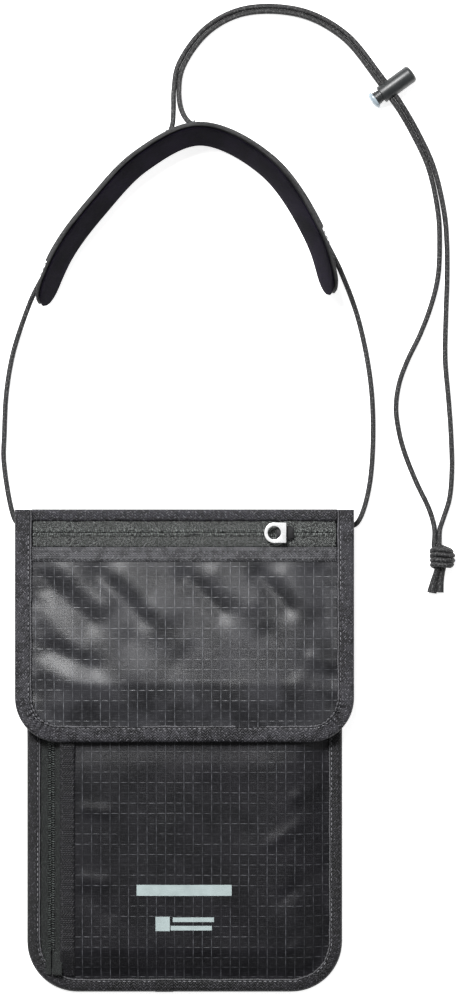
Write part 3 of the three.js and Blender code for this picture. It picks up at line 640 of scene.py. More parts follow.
def strand(side):
    p = np.array(doubledLine, float)
    ahead = np.array([p[min(i + 1, len(p) - 1)] - p[max(i - 1, 0)] for i in range(len(p))])
    ahead[:, 2] = 0
    ahead /= np.linalg.norm(ahead, axis=1, keepdims=True)
    across = np.stack([-ahead[:, 1], ahead[:, 0], 0 * ahead[:, 0]], 1)
    return [tuple(q) for q in p + across * side * cords["apart"]]


leftRoute = [
    (-78.5, 108, 1.45), (-80.9, 109.9, 1.4), (-86.3, 137, 1.35), (-86.1, 152.1, 1.35), (-85.1, 171.1, 1.35),
    (-81.8, 190.1, 1.8), (-74.6, 211, 6.2), (-70.7, 219.4, 9.6), (-65.6, 228.4, 11.7), (-57.9, 243, 11.7),
    (-48.2, 256.1, 11.7), (-37.8, 268.4, 11.7), (-26.4, 280.2, 11.7), (-12.9, 289.7, 11.7),
    (-8.2, 292.6, 11.6), (-5.9, 297.2, 11), (-5.3, 304, 8.6),
    *strand(1),
    (124, 256.5, 1.35), (125.2, 242, 1.35), (125.3, 225, 1.35), (124.7, 206.2, 1.35), (124.4, 187, 1.35),
    (126.1, 166.2, 1.35), (127.1, 151.9, 1.35), (127.6, 133.8, 1.35), (126.4, 120, 1.35),
    (123.6, 111, 1.6), (121.8, 105.5, 2.6), (121.45, 98.2, 3.9),
]
rightRoute = [
    (78.5, 106.6, 1.45), (82.4, 108.7, 1.4), (88.1, 125.8, 1.35), (89.5, 168.1, 1.35), (83.3, 204.2, 2.2),
    (74.6, 227.8, 8.6), (69.2, 238.4, 11.2), (52.3, 268.5, 11.7), (41.2, 281, 11.7), (27.6, 290.5, 11.7),
    (14.5, 295.9, 11.7), (7.4, 297.2, 11.7), (2.2, 299.2, 11.1), (-1.2, 304.6, 9),
    *strand(-1),
    (121, 256.5, 1.35), (121.7, 242, 1.35), (120.9, 226, 1.35), (117.9, 213.2, 1.35), (112.6, 199, 1.35),
    (106.2, 185.7, 1.35), (102.4, 175, 1.35), (100.9, 163.8, 1.35), (101.9, 154.3, 1.35),
    (104.3, 144.3, 1.35), (110.2, 129, 1.35), (116.6, 115.5, 1.35), (118.7, 108.8, 1.6), (119.3, 104.5, 2.6),
    (118.95, 98.2, 3.9),
]


def inMetres(points):
    return [tuple(c * mm for c in p) for p in points]


leftRoute, rightRoute = inMetres(leftRoute), inMetres(rightRoute)


def braid(turn, b):
    lay = 2 * math.pi / (1.31 * mm)
    return 0.045 * np.sin(6 * turn + lay * b) * np.sin(6 * turn - lay * b) - 0.01


def makeCord(name, route, node):
    line = smoothLine(route)
    cord = roundTube(name, line, cords["radius"], cords["step"], cords["sides"], braid)
    settle(cord, "pouch", [node], cordBraid)
    return line


leftLine = makeCord("cordLeft", leftRoute, "cord_left")
rightLine = makeCord("cordRight", rightRoute, "cord_right")

# The stopper knot: both strands, side by side, wind twice round the ones that pass through
knotTurns = [
    (121.4, 96.2, 3.6), (122.3, 95.9, 1.9), (124.6, 95.5, 1.55), (126.8, 94.9, 2.6), (127.5, 94.4, 4.4),
    (126, 94.3, 6.3), (122.8, 94.7, 6.95), (119.6, 94.9, 6.4), (118.1, 94.3, 4.5), (118.8, 93, 2.4),
    (121.6, 91.4, 1.55), (124.8, 90.2, 1.7), (127, 89.7, 2.8), (127.4, 89.5, 4.4), (126, 89.6, 6.2),
    (122.9, 89.8, 6.85), (119.7, 90.1, 6.2), (118.2, 89.8, 4.4), (119, 89.2, 2.4), (121, 88.8, 2),
    (122.6, 89.4, 3.6),
]
knotThrough = [
    [(118.95, 99.2, 3.75), (118.98, 97.2, 3.9), (119.7, 94.6, 4.1), (120.6, 92, 4.1)],
    [(121.45, 99.2, 3.75), (121.5, 97.2, 3.9), (122.2, 94.6, 4.1), (123.1, 92, 4.1)],
]
knotHeart = np.array([122.8, 92, 4.2]) * mm


def beside(line, apart, heart):
    # a line beside another, both wound round an upright line through the knot's heart
    at, ahead = alongLine(line, distances(line))
    outward = (at - heart) * (1, 0, 1)
    outward -= np.sum(outward * ahead, 1)[:, None] * ahead
    outward /= np.linalg.norm(outward, axis=1, keepdims=True)
    return at + np.cross(ahead, outward) * apart


knotLine = smoothLine(inMetres(knotTurns))
knotParts = [
    roundTube(f"knotTurn{i}", beside(knotLine, side * 1.12 * mm, knotHeart), 1.3 * mm, 0.3 * mm, 20, braid,
              side=(0.13, 0.97, 0.21))
    for i, side in enumerate((-1, 1))
]
for part in knotParts:  # the turns close in towards the top and bottom of the knot's right side
    co = np.array([v.co for v in part.data.vertices])
    beyond = np.maximum(co[:, 0] - knotHeart[0], 0)
    rounding = np.sqrt(np.clip(1 - ((co[:, 1] - 91.6 * mm) / (7 * mm)) ** 2, 0.1, 1))
    co[:, 0] += beyond * (1.08 * rounding - 1)
    part.data.vertices.foreach_set("co", co.ravel())
knotParts += [
    roundTube(f"knotThrough{i}", smoothLine(inMetres(points)), 1.27 * mm, 0.3 * mm, 20, braid)
    for i, points in enumerate(knotThrough)
]
knot = joined(knotParts, "stopperKnot")
settle(knot, "pouch", ["stopper_knot"], cordBraid)

# The cut ends, flattened and spread towards their tips
tails = {
    "Left": ([(121.2, 91, 4), (121, 87.8, 3.6), (120.1, 84.4, 2.6), (119.1, 80.6, 1.8), (118.4, 77.4, 1.5),
              (118, 75.2, 1.4)], 0.85),
    "Right": ([(123.6, 91, 4), (123.4, 87.4, 3.6), (122.8, 84.4, 2.5), (122.3, 81, 1.9), (122.1, 78, 1.7),
               (122, 75.4, 1.6)], 0.35),
}
for side, (points, spread) in tails.items():
    tail = roundTube(f"cordTail{side}", smoothLine(inMetres(points)), 1.3 * mm, 0.3 * mm, 20, braid,
                     (lambda t, spread=spread: 1 + spread * t ** 1.5, lambda t: 1 - 0.3 * t ** 1.5))
    settle(tail, "pouch", [f"cord_tail_{side.lower()}"], cordBraid)


# The pouch's outlines

body = {"half": 75 * mm, "bottom": -115 * mm, "top": 115 * mm, "corner": 24 * mm}
flap = {"half": 80.5 * mm, "bottom": 4.5 * mm, "top": 115 * mm, "corner": 21 * mm}


def inFrom(x, y, shape):
    # distance in from the sides and the rounded bottom
    r = shape["corner"]
    overX = np.maximum(np.abs(x) - (shape["half"] - r), 0)
    overY = np.maximum(shape["bottom"] + r - y, 0)
    rounded = r - np.hypot(overX, overY)
    straight = np.minimum(shape["half"] - np.abs(x), y - shape["bottom"])
    return np.where((overX > 0) & (overY > 0), rounded, straight)


def edgeWay(shape, inset=0, top=None):
    # down the left side, round the bottom and up the right side
    r = shape["corner"]
    half, bottom, top = shape["half"], shape["bottom"], top or shape["top"]
    leftCorner = arc((-half + r, bottom + r), r, 180, 270)
    rightCorner = arc((half - r, bottom + r), r, 270, 360)
    way = [(-half, top, 0), *leftCorner, *rightCorner, (half, top, 0)]
    way = np.array(way)
    run = distances(way)
    at, ahead = alongLine(way, np.linspace(0, run[-1], 1600))
    inward = np.stack([-ahead[:, 1], ahead[:, 0], 0 * ahead[:, 0]], 1)
    return at + inward * inset


def ease(value, start, end):
    t = np.clip((value - start) / (end - start), 0, 1)
    return t * t * (3 - 2 * t)


def crease(x, y, start, end, width, height):
    # a soft ridge along a short line, dying out at its ends
    (x0, y0), (x1, y1) = [(c[0] * mm, c[1] * mm) for c in (start, end)]
    long = math.hypot(x1 - x0, y1 - y0)
    t = ((x - x0) * (x1 - x0) + (y - y0) * (y1 - y0)) / long ** 2
    off = ((x - x0) * (y1 - y0) - (y - y0) * (x1 - x0)) / long
    fade = np.exp(-(np.maximum(0, np.abs(t - 0.5) - 0.32) / 0.16) ** 2)
    return height * mm * fade * np.exp(-(off / (width * mm)) ** 2)


def ripple(x, y, size, seed):
    # gentle unevenness made of a few crossing waves
    total = 0
    for k in range(6):
        turn = 2.4 * k + seed
        pitch = size * (0.7 + 0.22 * k)
        along = x * math.cos(turn) + y * math.sin(turn)
        total = total + np.sin(along * 2 * math.pi / pitch + 1.7 * k * seed)
    return total / 6


def panel(name, shape, seam, inner, ramp, top, creases=(), rough=0.12, seed=1, left=None, inset=1.1,
          step=1.5, thickness=0.3, tilt=None, puckers=0.0, least=-1.0):
    # a cloth panel: sewn low at its edges, lying higher inside
    half = shape["half"] - inset * mm
    x0 = -half if left is None else left * mm
    bottom = shape["bottom"] + inset * mm
    width, length = half - x0, top * mm - bottom

    def place(x, y):
        into = inFrom(x, y, shape)
        rise = ease(into, ramp[0] * mm, ramp[1] * mm)
        if left is not None:
            rise = rise * 0 + ease(shape["half"] - x, ramp[0] * mm, ramp[1] * mm) * ease(
                y - shape["bottom"], ramp[0] * mm, ramp[1] * mm)
            rise = np.minimum(rise, ease(into, ramp[0] * mm, ramp[1] * mm) + (x < 0))
        z = seam * mm + (inner - seam) * mm * rise
        for one in creases:
            z = z + crease(x, y, *one) * ease(into, 2 * mm, 12 * mm)
        z = z + (ripple(x, y, 38 * mm, seed) + 0.4 * ripple(x, y, 15 * mm, seed + 5)) * rough * mm * ease(
            into, 3 * mm, 14 * mm)
        if puckers:
            near = np.exp(-((into - 8 * mm) / (5 * mm)) ** 2)
            z = z + puckers * mm * near * ripple(x, y, 9 * mm, seed + 2)
        if tilt:
            z = z + tilt(x, y)
        return np.stack([x, y, np.maximum(z, least * mm)], 1)

    piece = layCloth(name, width, length, (step * mm, step * mm), place, 0, (x0, bottom))
    r = shape["corner"] - inset * mm
    for side in (-1, 1):
        for turn in range(9, 90, 12):
            a = math.radians(turn)
            way = Vector((side * math.sin(a), -math.cos(a), 0))
            centre = Vector((side * (shape["half"] - shape["corner"]), shape["bottom"] + shape["corner"], 0))
            if left is not None and side < 0:
                continue
            editing(piece)
            bpy.ops.mesh.bisect(plane_co=centre + way * r, plane_no=way, clear_outer=True)
            doneEditing()
    useModifier(piece, "SOLIDIFY", thickness=thickness * mm, offset=0)
    choose(piece)
    bpy.ops.object.shade_smooth()
    return piece


print("body panels")
backCreases = [
    ((-40, 60), (-10, 20), 7, -0.2), ((20, -30), (52, -66), 8, -0.2), ((-55, -20), (-35, -70), 6, 0.2),
]
backPanel = panel("backPanel", body, 0.85, 0.3, (6.5, 21), 113.9, backCreases, 0.03, 3, least=0.15)
settle(backPanel, "pouch", ["back_panel"], ripstopLit)

shield = panel("rfidShield", body, 0.8, 0.8, (10, 30), 93, (), 0.03, 5, inset=22, thickness=0.08, step=2.5)
settle(shield, "pouch", ["rfid_shield"], shieldFilm)

backLining = panel("backLining", body, 1.25, 1.25, (6, 20), 108.5, (), 0.05, 4, inset=1.6, step=2.5)
settle(backLining, "pouch", ["back_lining"], liningCloth)

divider = panel("pocketDivider", body, 2, 6.45, (9, 23.5), 104, (), 0.08, 7, inset=1.85, step=2)
settle(divider, "pouch", ["pocket_divider"], liningCloth)

frontCreases = [
    ((-70, 3), (70, 3), 7, -0.9), ((50, -104), (44, 40), 11, 1.1),
    ((62, -30), (38, -46), 3.2, 0.5), ((66, -14), (50, -24), 2.8, 0.45), ((66, -56), (44, -72), 3.2, -0.5),
    ((64, -84), (48, -98), 3, 0.4), ((-50, -27), (-34, -29), 3, 0.5), ((-50, -60), (-36, -63), 3, 0.45),
    ((-50, -66), (-34, -80), 4, -0.35), ((-20, -88), (24, -100), 6, 0.3), ((10, -10), (30, -44), 6, -0.4),
    ((-10, -30), (-2, -70), 8, 0.4),
]


def frontTilt(x, y):
    low = ease(y, -104 * mm, -60 * mm)
    return 0.5 * mm * low * np.exp(-((x - 4 * mm) / (34 * mm)) ** 2)


frontPanel = panel("frontPanel", body, 2.5, 7.9, (6.5, 21), 104, frontCreases, 0.16, 2,
                   left=-59.3, inset=2.35, step=1.2, tilt=frontTilt, puckers=0.2)
settle(frontPanel, "pouch", ["front_panel"], ripstopFrontShaded)

print("flap panels")
flapLining = panel("flapLining", flap, 9.65, 9.65, (6, 20), 113.6, (), 0.05, 6, inset=1.1, step=2.5)
settle(flapLining, "flap", ["flap_lining"], liningCloth)

flapCreases = [
    ((-70, 84), (-40, 57), 5, -1.25), ((-62, 92), (-34, 66), 5.5, 0.95), ((-46, 88), (-16, 58), 4.6, -1.25),
    ((-34, 90), (-4, 60), 5.5, 1), ((-4, 87), (22, 62), 4.6, -1.3), ((10, 88), (36, 66), 6, 0.95),
    ((32, 87), (52, 64), 4, -1.3), ((44, 88), (64, 66), 4.6, 0.9), ((60, 90), (70, 56), 5.5, -1.2),
    ((-68, 50), (-38, 38), 4.6, -1.1), ((-72, 40), (-40, 30), 4.2, 0.62), ((-70, 66), (-44, 44), 5.5, 0.6),
    ((-30, 56), (0, 40), 6.5, -0.5), ((58, 46), (74, 40), 3, 0.8), ((60, 38), (76, 34), 2.8, -0.7),
    ((60, 30), (74, 28), 2.8, 0.7), ((36, 60), (54, 34), 5.5, -0.8), ((-20, 70), (2, 48), 6.5, 0.5),
    ((-40, 34), (-20, 8), 4, 0.5), ((-26, 34), (-12, 8), 3.6, -0.45), ((20, 32), (34, 8), 5, 0.35),
]


def flapTilt(x, y):
    # the patches under the flap lift a crest across it; below it the flap turns down, above it lies back
    up = np.clip((y - 7 * mm) / (25 * mm), 0, 1)
    back = 1 - 0.9 * np.clip((y - 32 * mm) / (62 * mm), 0, 1)
    return 3.1 * mm * np.minimum(up, back) * ease(flap["half"] - np.abs(x), 7 * mm, 30 * mm)


flapPocket = panel("flapPocketPanel", flap, 10.35, 11.2, (8.5, 20), 97.1, flapCreases, 0.22, 9,
                   inset=1.1, step=1.2, tilt=flapTilt, puckers=0.3, least=10.1)
settle(flapPocket, "flap", ["flap_pocket_panel"], ripstopLit)


# Bindings: tape folded over the edges

def foldedTape(name, way, reach, low, high, pucker=0.0, corners=None, step=0.6):
    # way is the edge; the tape runs in over the front, round the edge and back behind
    radius = (high - low) / 2 * mm
    mid = (high + low) / 2 * mm
    leg = reach * mm - radius
    width = 2 * leg + math.pi * radius
    total = distances(way)[-1]

    def place(a, b):
        at, ahead = alongLine(way, b)
        inward = np.stack([-ahead[:, 1], ahead[:, 0], 0 * ahead[:, 0]], 1)
        turn = np.clip((a - leg) / radius, 0, math.pi)
        into = np.where(a < leg, reach * mm - a, np.where(a > width - leg, a - (width - reach * mm), 0))
        into = np.where((a >= leg) & (a <= width - leg), radius * (1 - np.sin(turn)), into)
        z = mid + radius * np.cos(turn)
        front = a < leg + radius
        crown = np.sin(np.clip(into / (reach * mm), 0, 1) * math.pi)
        z = z + front * (0.16 * crown - 0.22 * ease(into, 0.8 * reach * mm, reach * mm)) * mm
        wobble = np.sin(b * 2 * math.pi / (17 * mm)) * np.sin(b * 2 * math.pi / (41 * mm) + 1)
        into = into + 0.16 * mm * wobble * ease(into, 0, reach * mm)
        if pucker:
            bend = corners(b) if corners else 1
            fold = np.sin(b * 2 * math.pi / (3.4 * mm) + 0.8 * np.sin(b * 2 * math.pi / (13 * mm)))
            z = z + front * pucker * mm * bend * fold * ease(into, 1.2 * mm, 0.8 * reach * mm)
            into = into + 0.5 * pucker * mm * bend * fold * ease(into, 0.5 * reach * mm, reach * mm)
        return at + inward * into[:, None] + np.stack([0 * z, 0 * z, z], 1)

    return layCloth(name, width, total, (0.55 * mm, step * mm), place, 0.4 * mm)


def cornerShare(shape):
    side = shape["top"] - shape["bottom"] - shape["corner"]
    bend = math.pi / 2 * shape["corner"]
    across = 2 * (shape["half"] - shape["corner"])
    middles = [side + bend / 2, side + bend + across + bend / 2]

    def share(b):
        return 0.12 + sum(np.exp(-((b - middle) / (0.42 * bend)) ** 2) for middle in middles)
    return share


# One stitch, then rows of it
bpy.ops.mesh.primitive_uv_sphere_add(segments=8, ring_count=5, radius=0.5, location=(0, 0, 0))
oneStitch = named("oneStitch")
editing(oneStitch)
bpy.ops.transform.resize(value=(1, 0.24, 0.2))
doneEditing()


def stitchRow(way, pitch=2.6, length=1.9, lean=0.0, thick=1.0):
    total = distances(way)[-1]
    count = int(total / (pitch * mm))
    where = (np.arange(count) + 0.5) * total / count
    at, ahead = alongLine(way, where)
    size = Matrix.Diagonal((length * mm, length * mm * thick, length * mm * thick, 1))
    return [frameAt(p, Matrix.Rotation(lean, 3, "Z") @ Vector(d)) @ size for p, d in zip(at, ahead)]


def stitches(name, rows, body, material):
    piece = copyTo(oneStitch, name, [place for row in rows for place in row])
    return settle(piece, body, None, material)


def level(way, z):
    return way + np.array([0, 0, z * mm])


print("bindings")
bodyWay = edgeWay(body)
bodyBinding = foldedTape("bodyBinding", bodyWay, 6.3, 0.2, 3.15, 0.36, cornerShare(body))
settle(bodyBinding, "pouch", ["body_binding"], bodyTapeShaded)
stitches("bodyBindingStitches", [stitchRow(level(edgeWay(body, 4.9 * mm), 3.5), 2.4, 1.7)], "pouch",
         paleThread)

# where the two ends of the body's binding overlap
overlapWay = np.array([(-14, -115.15, 0), (-5.5, -115.15, 0)]) * mm
overlap = foldedTape("bodyBindingLap", overlapWay, 6.5, 0.25, 3.5, step=0.5)
settle(overlap, "pouch", None, bodyTapeShaded)

flapWay = edgeWay(flap)
flapBinding = foldedTape("flapEdgeBinding", flapWay, 8, 9.05, 11.15, 0.45, cornerShare(flap))
settle(flapBinding, "flap", ["flap_edge_binding"], bindingTape)
stitches("flapBindingStitches", [stitchRow(level(edgeWay(flap, 6.3 * mm), 11.48), 2.4, 1.8)], "flap",
         paleThread)

flapTopWay = np.array([(72.4, 115, 0), (-72.4, 115, 0)]) * mm
flapTopBinding = foldedTape("flapTopBinding", flapTopWay, 5.3, 9, 11.5)
settle(flapTopBinding, "flap", ["flap_top_binding"], topTape)
topStitchWay = np.array([(-72, 110.6, 11.8), (72, 110.6, 11.8)]) * mm

mouthWay = np.array([(68.5, 115, 0), (-68.5, 115, 0)]) * mm
mouthBinding = foldedTape("mouthSeamBinding", mouthWay, 5.3, 0.25, 1.6)
settle(mouthBinding, "pouch", ["mouth_seam_binding"], topTape)

# the strip that joins the flap to the pouch's back
hinge = {"half": 68 * mm, "y": 114.35 * mm, "low": 1.3 * mm, "high": 9.2 * mm}


def hingePlace(a, b):
    bulge = 0.35 * mm * np.sin((b - hinge["low"]) / (hinge["high"] - hinge["low"]) * math.pi)
    return np.stack([a, hinge["y"] + bulge, b], 1)


hingeTape = layCloth("flapHingeTape", 2 * hinge["half"], hinge["high"] - hinge["low"], (2 * mm, 0.4 * mm),
                     hingePlace, 0.45 * mm, (-hinge["half"], hinge["low"]))
settle(hingeTape, None, ["flap_hinge_tape"], topTape)
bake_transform(hingeTape)

print("seam bands and topstitching")


def band(name, x, y, surface, body, finish, thickness=0.35):
    # a folded seam lying on a panel
    width, length = (x[1] - x[0]) * mm, (y[1] - y[0]) * mm

    def place(a, b):
        z = surface(a, b)
        across, down = (a - x[0] * mm) / width, (b - y[0] * mm) / length
        edge = np.minimum(np.minimum(across, 1 - across) * width, np.minimum(down, 1 - down) * length)
        z = z - 0.3 * mm * (1 - ease(edge, 0, 1.1 * mm)) + 0.1 * mm * ripple(a, b, 9 * mm, 4)
        return np.stack([a, b, z], 1)

    piece = layCloth(name, width, length, (0.6 * mm, 0.6 * mm), place, thickness * mm, (x[0] * mm, y[0] * mm))
    return settle(piece, body, None, finish)


def flapFace(x, y):
    into = inFrom(x, y, flap)
    z = 10.35 * mm + 0.85 * mm * ease(into, 8.5 * mm, 20 * mm) + flapTilt(x, y)
    for one in flapCreases:
        z = z + crease(x, y, *one) * ease(into, 2 * mm, 12 * mm)
    return z + ripple(x, y, 38 * mm, 9) * 0.22 * mm * ease(into, 3 * mm, 14 * mm)


band("flapSeamBand", (-72.6, 72.6), (90.2, 97.2), lambda x, y: flapFace(x, y) + 0.5 * mm,
     "flap", seamBandClothLit)


def rowOn(surface, ends, lift):
    # a straight row of thread lying on a surface
    (x0, y0), (x1, y1) = ends
    x, y = np.linspace(x0, x1, 160) * mm, np.linspace(y0, y1, 160) * mm
    return np.stack([x, y, surface(x, y) + lift * mm], 1)


stitches("flapSeamStitches", [
    stitchRow(rowOn(flapFace, ((-72, 95.2), (72, 95.2)), 0.72), 2.6, 1.9),
    stitchRow(rowOn(flapFace, ((-72, 91.4), (72, 91.4)), 0.72), 2.6, 1.9),
    stitchRow(topStitchWay, 2.6, 1.8),
], "flap", darkThread)


def frontFace(x, y):
    into = np.minimum(body["half"] - x, y - body["bottom"])
    z = 2.5 * mm + 5.4 * mm * ease(into, 6.5 * mm, 21 * mm)
    return z + ripple(x, y, 38 * mm, 2) * 0.16 * mm + frontTilt(x, y)


band("frontSeamBand", (-59.3, -52.1), (-108, 103.8), lambda x, y: frontFace(x, y) + 0.4 * mm,
     "pouch", frontBandClothShaded)
stitches("frontSeamStitches", [
    stitchRow(rowOn(frontFace, ((-58.1, -107), (-58.1, 103)), 0.62), 2.6, 1.9),
    stitchRow(rowOn(frontFace, ((-53.4, -107), (-53.4, 103)), 0.62), 2.6, 1.9),
], "pouch", darkThread)


print("zips")
# One tooth of the coil: a bar with a rounded head that meets the other side's.
# The coils stay closed where the slider is, so the slider's post goes through their teeth.
teeth = {"pitch": 1.12, "out": 0.95, "level": 0.6, "slant": 0.18}
bpy.ops.mesh.primitive_uv_sphere_add(segments=8, ring_count=6, radius=0.5, location=(0, 0, 0))
oneTooth = named("oneTooth")
editing(oneTooth)
bpy.ops.transform.resize(value=(0.72, 2.3, 0.8))
doneEditing()
pick(oneTooth, lambda v: v.co.y < -0.6, "VERT")
bpy.ops.transform.resize(value=(1.5, 1, 1.25))
doneEditing()
useModifier(oneTooth, "SUBSURF", levels=1, render_levels=1)


def zipFrame(origin, along, across):
    # X runs along the zip, Y across it, Z out of it
    x, y = Vector(along), Vector(across)
    matrix = Matrix((x, y, x.cross(y))).transposed().to_4x4()
    matrix.translation = Vector(origin) * mm
    return matrix


def coil(name, place, start, end, side, body, node):
    pitch = teeth["pitch"]
    count = int((end - start) / pitch)
    places = []
    for i in range(count):
        x = start + (i + 0.5 + 0.25 * side) * pitch
        tooth = Matrix.Translation(Vector((x, side * teeth["out"], teeth["level"])) * mm)
        turn = Matrix.Diagonal((mm, side * mm, mm, 1))
        places.append(place @ tooth @ turn @ Matrix.Rotation(teeth["slant"], 4, "Z"))
    piece = copyTo(oneTooth, name, places)
    if side < 0 or place.determinant() < 0:
        editing(piece)
        bpy.ops.mesh.normals_make_consistent(inside=False)
        doneEditing()
    return settle(piece, body, [node], zipCoil if body == "flap" else zipCoilDark)


def tape(name, place, start, end, near, far, body, node, room=None):
    # near is the edge beside the coil; room(b) is how far out the tape may go there
    side = 1 if far > near else -1
    width = abs(far - near) * mm

    def lay(a, b):
        if room:
            a = a * np.minimum(1, room(b) / width)
        y = (near * mm + side * a)
        z = 0.1 * mm * np.sin(b * 2 * math.pi / (23 * mm)) * ease(a, 0, width)
        z = z - 0.12 * mm * ease(a, width * 0.7, width)
        local = np.stack([b, y, z, np.ones_like(y)], 1)
        return (local @ np.array(place).T)[:, :3]

    piece = layCloth(name, width, (end - start) * mm, (0.6 * mm, 1.2 * mm), lay, 0.35 * mm, (0, start * mm))
    return settle(piece, body, [node], zipTape if body == "flap" else zipTapeDark)


flapZip = zipFrame((0, 104, 10.85), (1, 0, 0), (0, 1, 0))
tape("flapZipTapeUpper", flapZip, -72, 72, 0.1, 9.4, "flap", "flap_zip_tape_upper")
tape("flapZipTapeLower", flapZip, -72, 72, -0.1, -6.7, "flap", "flap_zip_tape_lower")
coil("flapZipCoilUpper", flapZip, -72, 72, 1, "flap", "flap_zip_coil_upper")
coil("flapZipCoilLower", flapZip, -72, 72, -1, "flap", "flap_zip_coil_lower")

zipLean = math.atan2(5.45, 14.5)
bodyZip = zipFrame((-63.35, 0, 4.43), (0, 1, 0), (-math.cos(zipLean), 0, -math.sin(zipLean)))


def cornerRoom(b):
    # the outer tape narrows with the pouch's round corner
    drop = np.clip(body["bottom"] + body["corner"] - b, 0, body["corner"])
    half = body["half"] - body["corner"] + np.sqrt(body["corner"] ** 2 - drop ** 2)
    return np.maximum(0.4 * mm, (half - 1.4 * mm - 63.65 * mm) / math.cos(zipLean))


tape("bodyZipTapeOuter", bodyZip, -107, 108, 0.3, 10.4, "pouch", "body_zip_tape_outer", cornerRoom)
tape("bodyZipTapeInner", bodyZip, -107, 108, -0.3, -5.2, "pouch", "body_zip_tape_inner")
coil("bodyZipCoilOuter", bodyZip, -95, 108, 1, "pouch", "body_zip_coil_outer")
coil("bodyZipCoilInner", bodyZip, -95, 108, -1, "pouch", "body_zip_coil_inner")


def block(name, size, centre, bevel, segments=3):
    # a moulded block with every edge rounded
    deselect()
    bpy.ops.mesh.primitive_cube_add(size=1, location=(0, 0, 0))
    piece = named(name)
    editing(piece)
    bpy.ops.transform.resize(value=[s * mm for s in size])
    bpy.ops.transform.translate(value=[c * mm for c in centre])
    doneEditing()
    useModifier(piece, "BEVEL", width=bevel * mm, segments=segments, limit_method="NONE")
    return piece


def pin(name, radius, depth, centre, axis, bevel=0.15, sides=32):
    deselect()
    bpy.ops.mesh.primitive_cylinder_add(vertices=sides, radius=radius * mm, depth=depth * mm,
                                        location=(0, 0, 0))
    piece = named(name)
    turn = Vector((0, 0, 1)).rotation_difference(Vector(axis)).to_matrix().to_4x4()
    moveMesh(piece, Matrix.Translation(Vector(centre) * mm) @ turn)
    if bevel:
        useModifier(piece, "BEVEL", width=bevel * mm, segments=3, limit_method="ANGLE")
    return piece


def cutBy(piece, cutter):
    useModifier(piece, "BOOLEAN", operation="DIFFERENCE", solver="EXACT", object=cutter)
    bpy.data.objects.remove(cutter)
    return piece


def addTo(piece, other):
    useModifier(piece, "BOOLEAN", operation="UNION", solver="EXACT", object=other)
    bpy.data.objects.remove(other)
    return piece


def slider(name, place, body, node):
    top = block("sliderTop", (8.4, 6.9, 0.6), (0, 0, 1.55), 0.22)
    pick(top, lambda v: v.co.x > 2.5 * mm, "VERT")
    bpy.ops.transform.resize(value=(1, 0.74, 1))
    doneEditing()
    bottom = block("sliderBottom", (8, 6.4, 0.45), (0, 0, -0.58), 0.16)
    pick(bottom, lambda v: v.co.x > 2.4 * mm, "VERT")
    bpy.ops.transform.resize(value=(1, 0.76, 1))
    doneEditing()
    whole = addTo(top, bottom)
    whole = addTo(whole, block("sliderPost", (1.2, 0.8, 2.2), (3, 0, 0.5), 0.1))
    for side in (-1, 1):
        whole = addTo(whole, block("sliderRail", (6.8, 0.5, 0.8), (-0.4, side * 3.05, 1.3), 0.12))
        whole = addTo(whole, block("sliderEarFoot", (1.4, 0.7, 1.3), (0, side * 2.25, 2.4), 0.1))
        whole = addTo(whole, pin("sliderEar", 0.7, 0.7, (0, side * 2.25, 3), (0, 1, 0), 0.08, 24))
    whole.name = name
    softShade(whole, 35)
    moveMesh(whole, place)
    return settle(whole, body, [node], sliderMetal)


slider("flapZipSlider", zipFrame((47.75, 104, 10.85), (1, 0, 0), (0, 1, 0)), "flap_slider", "flap_zip_slider")
bodySliderPlace = zipFrame((-63.35, 92, 4.43), (0, 1, 0), (-math.cos(zipLean), 0, -math.sin(zipLean)))
slider("bodyZipSlider", bodySliderPlace, "body_slider", "body_zip_slider")

# The flap's pull: a flat ring on a square base, with its pin under the base
pullLook = {
    "hinge": (47.75, 104, 13.85),
    "half": 4.85,
    "hole": 3.15,
    "thick": 0.75,
    "ring": -5,
    "level": 1.17,
}
pull = pin("flapZipPull", pullLook["half"], pullLook["thick"], (pullLook["ring"], 0, pullLook["level"]),
           (0, 0, 1), 0.2, 64)
base = block("pullBase", (5.5, 9.6, pullLook["thick"]), (-2.2, 0, pullLook["level"]), 0.2)
pull = addTo(pull, base)
holeAt = pullLook["ring"] - 0.1
pull = cutBy(pull, pin("pullHole", pullLook["hole"], 3, (holeAt, 0, pullLook["level"]), (0, 0, 1), 0.01, 64))
pull = addTo(pull, block("pullStem", (0.9, 2.6, 1.1), (0, 0, 0.5), 0.1))
pull = addTo(pull, pin("pullPin", 0.42, 3.6, (0, 0, 0), (0, 1, 0), 0.05, 24))
pull.name = "flapZipPull"


def onHoleRim(e):
    away = math.hypot(midOf(e).x - holeAt * mm, midOf(e).y)
    return abs(away - pullLook["hole"] * mm) < 0.03 * mm and abs(e.verts[0].co.z - e.verts[1].co.z) < 1e-6


pick(pull, onHoleRim, "EDGE")
bpy.ops.mesh.bevel(offset=0.18 * mm, segments=3)
doneEditing()
softShade(pull, 35)
moveMesh(pull, Matrix.Translation(Vector(pullLook["hinge"]) * mm))
settle(pull, "flap_pull", ["flap_zip_pull"], pullMetal)

# The body zip's ribbon puller: a loop of tape through the slider's ears
ribbonLine = smoothLine([
    (0.9, 0, 2.7), (0.9, 0, 3.9), (-0.6, 0, 4.2), (-6, 0, 3.2), (-12, 0, 2.7), (-16.4, 0, 2.9),
    (-17, 0, 2.4), (-16.2, 0, 2), (-11, 0, 2.1), (-5, 0, 2.3), (-0.9, 0, 2.5),
])
ribbonLength = distances(ribbonLine)[-1]


def ribbonPlace(a, b):
    at, ahead = alongLine(ribbonLine, b)
    local = np.stack([at[:, 0] * mm, (a - 1.6 * mm), at[:, 2] * mm, np.ones_like(a)], 1)
    return (local @ np.array(bodySliderPlace).T)[:, :3]


def ribbonLay(a, b):
    return ribbonPlace(a, b / mm)


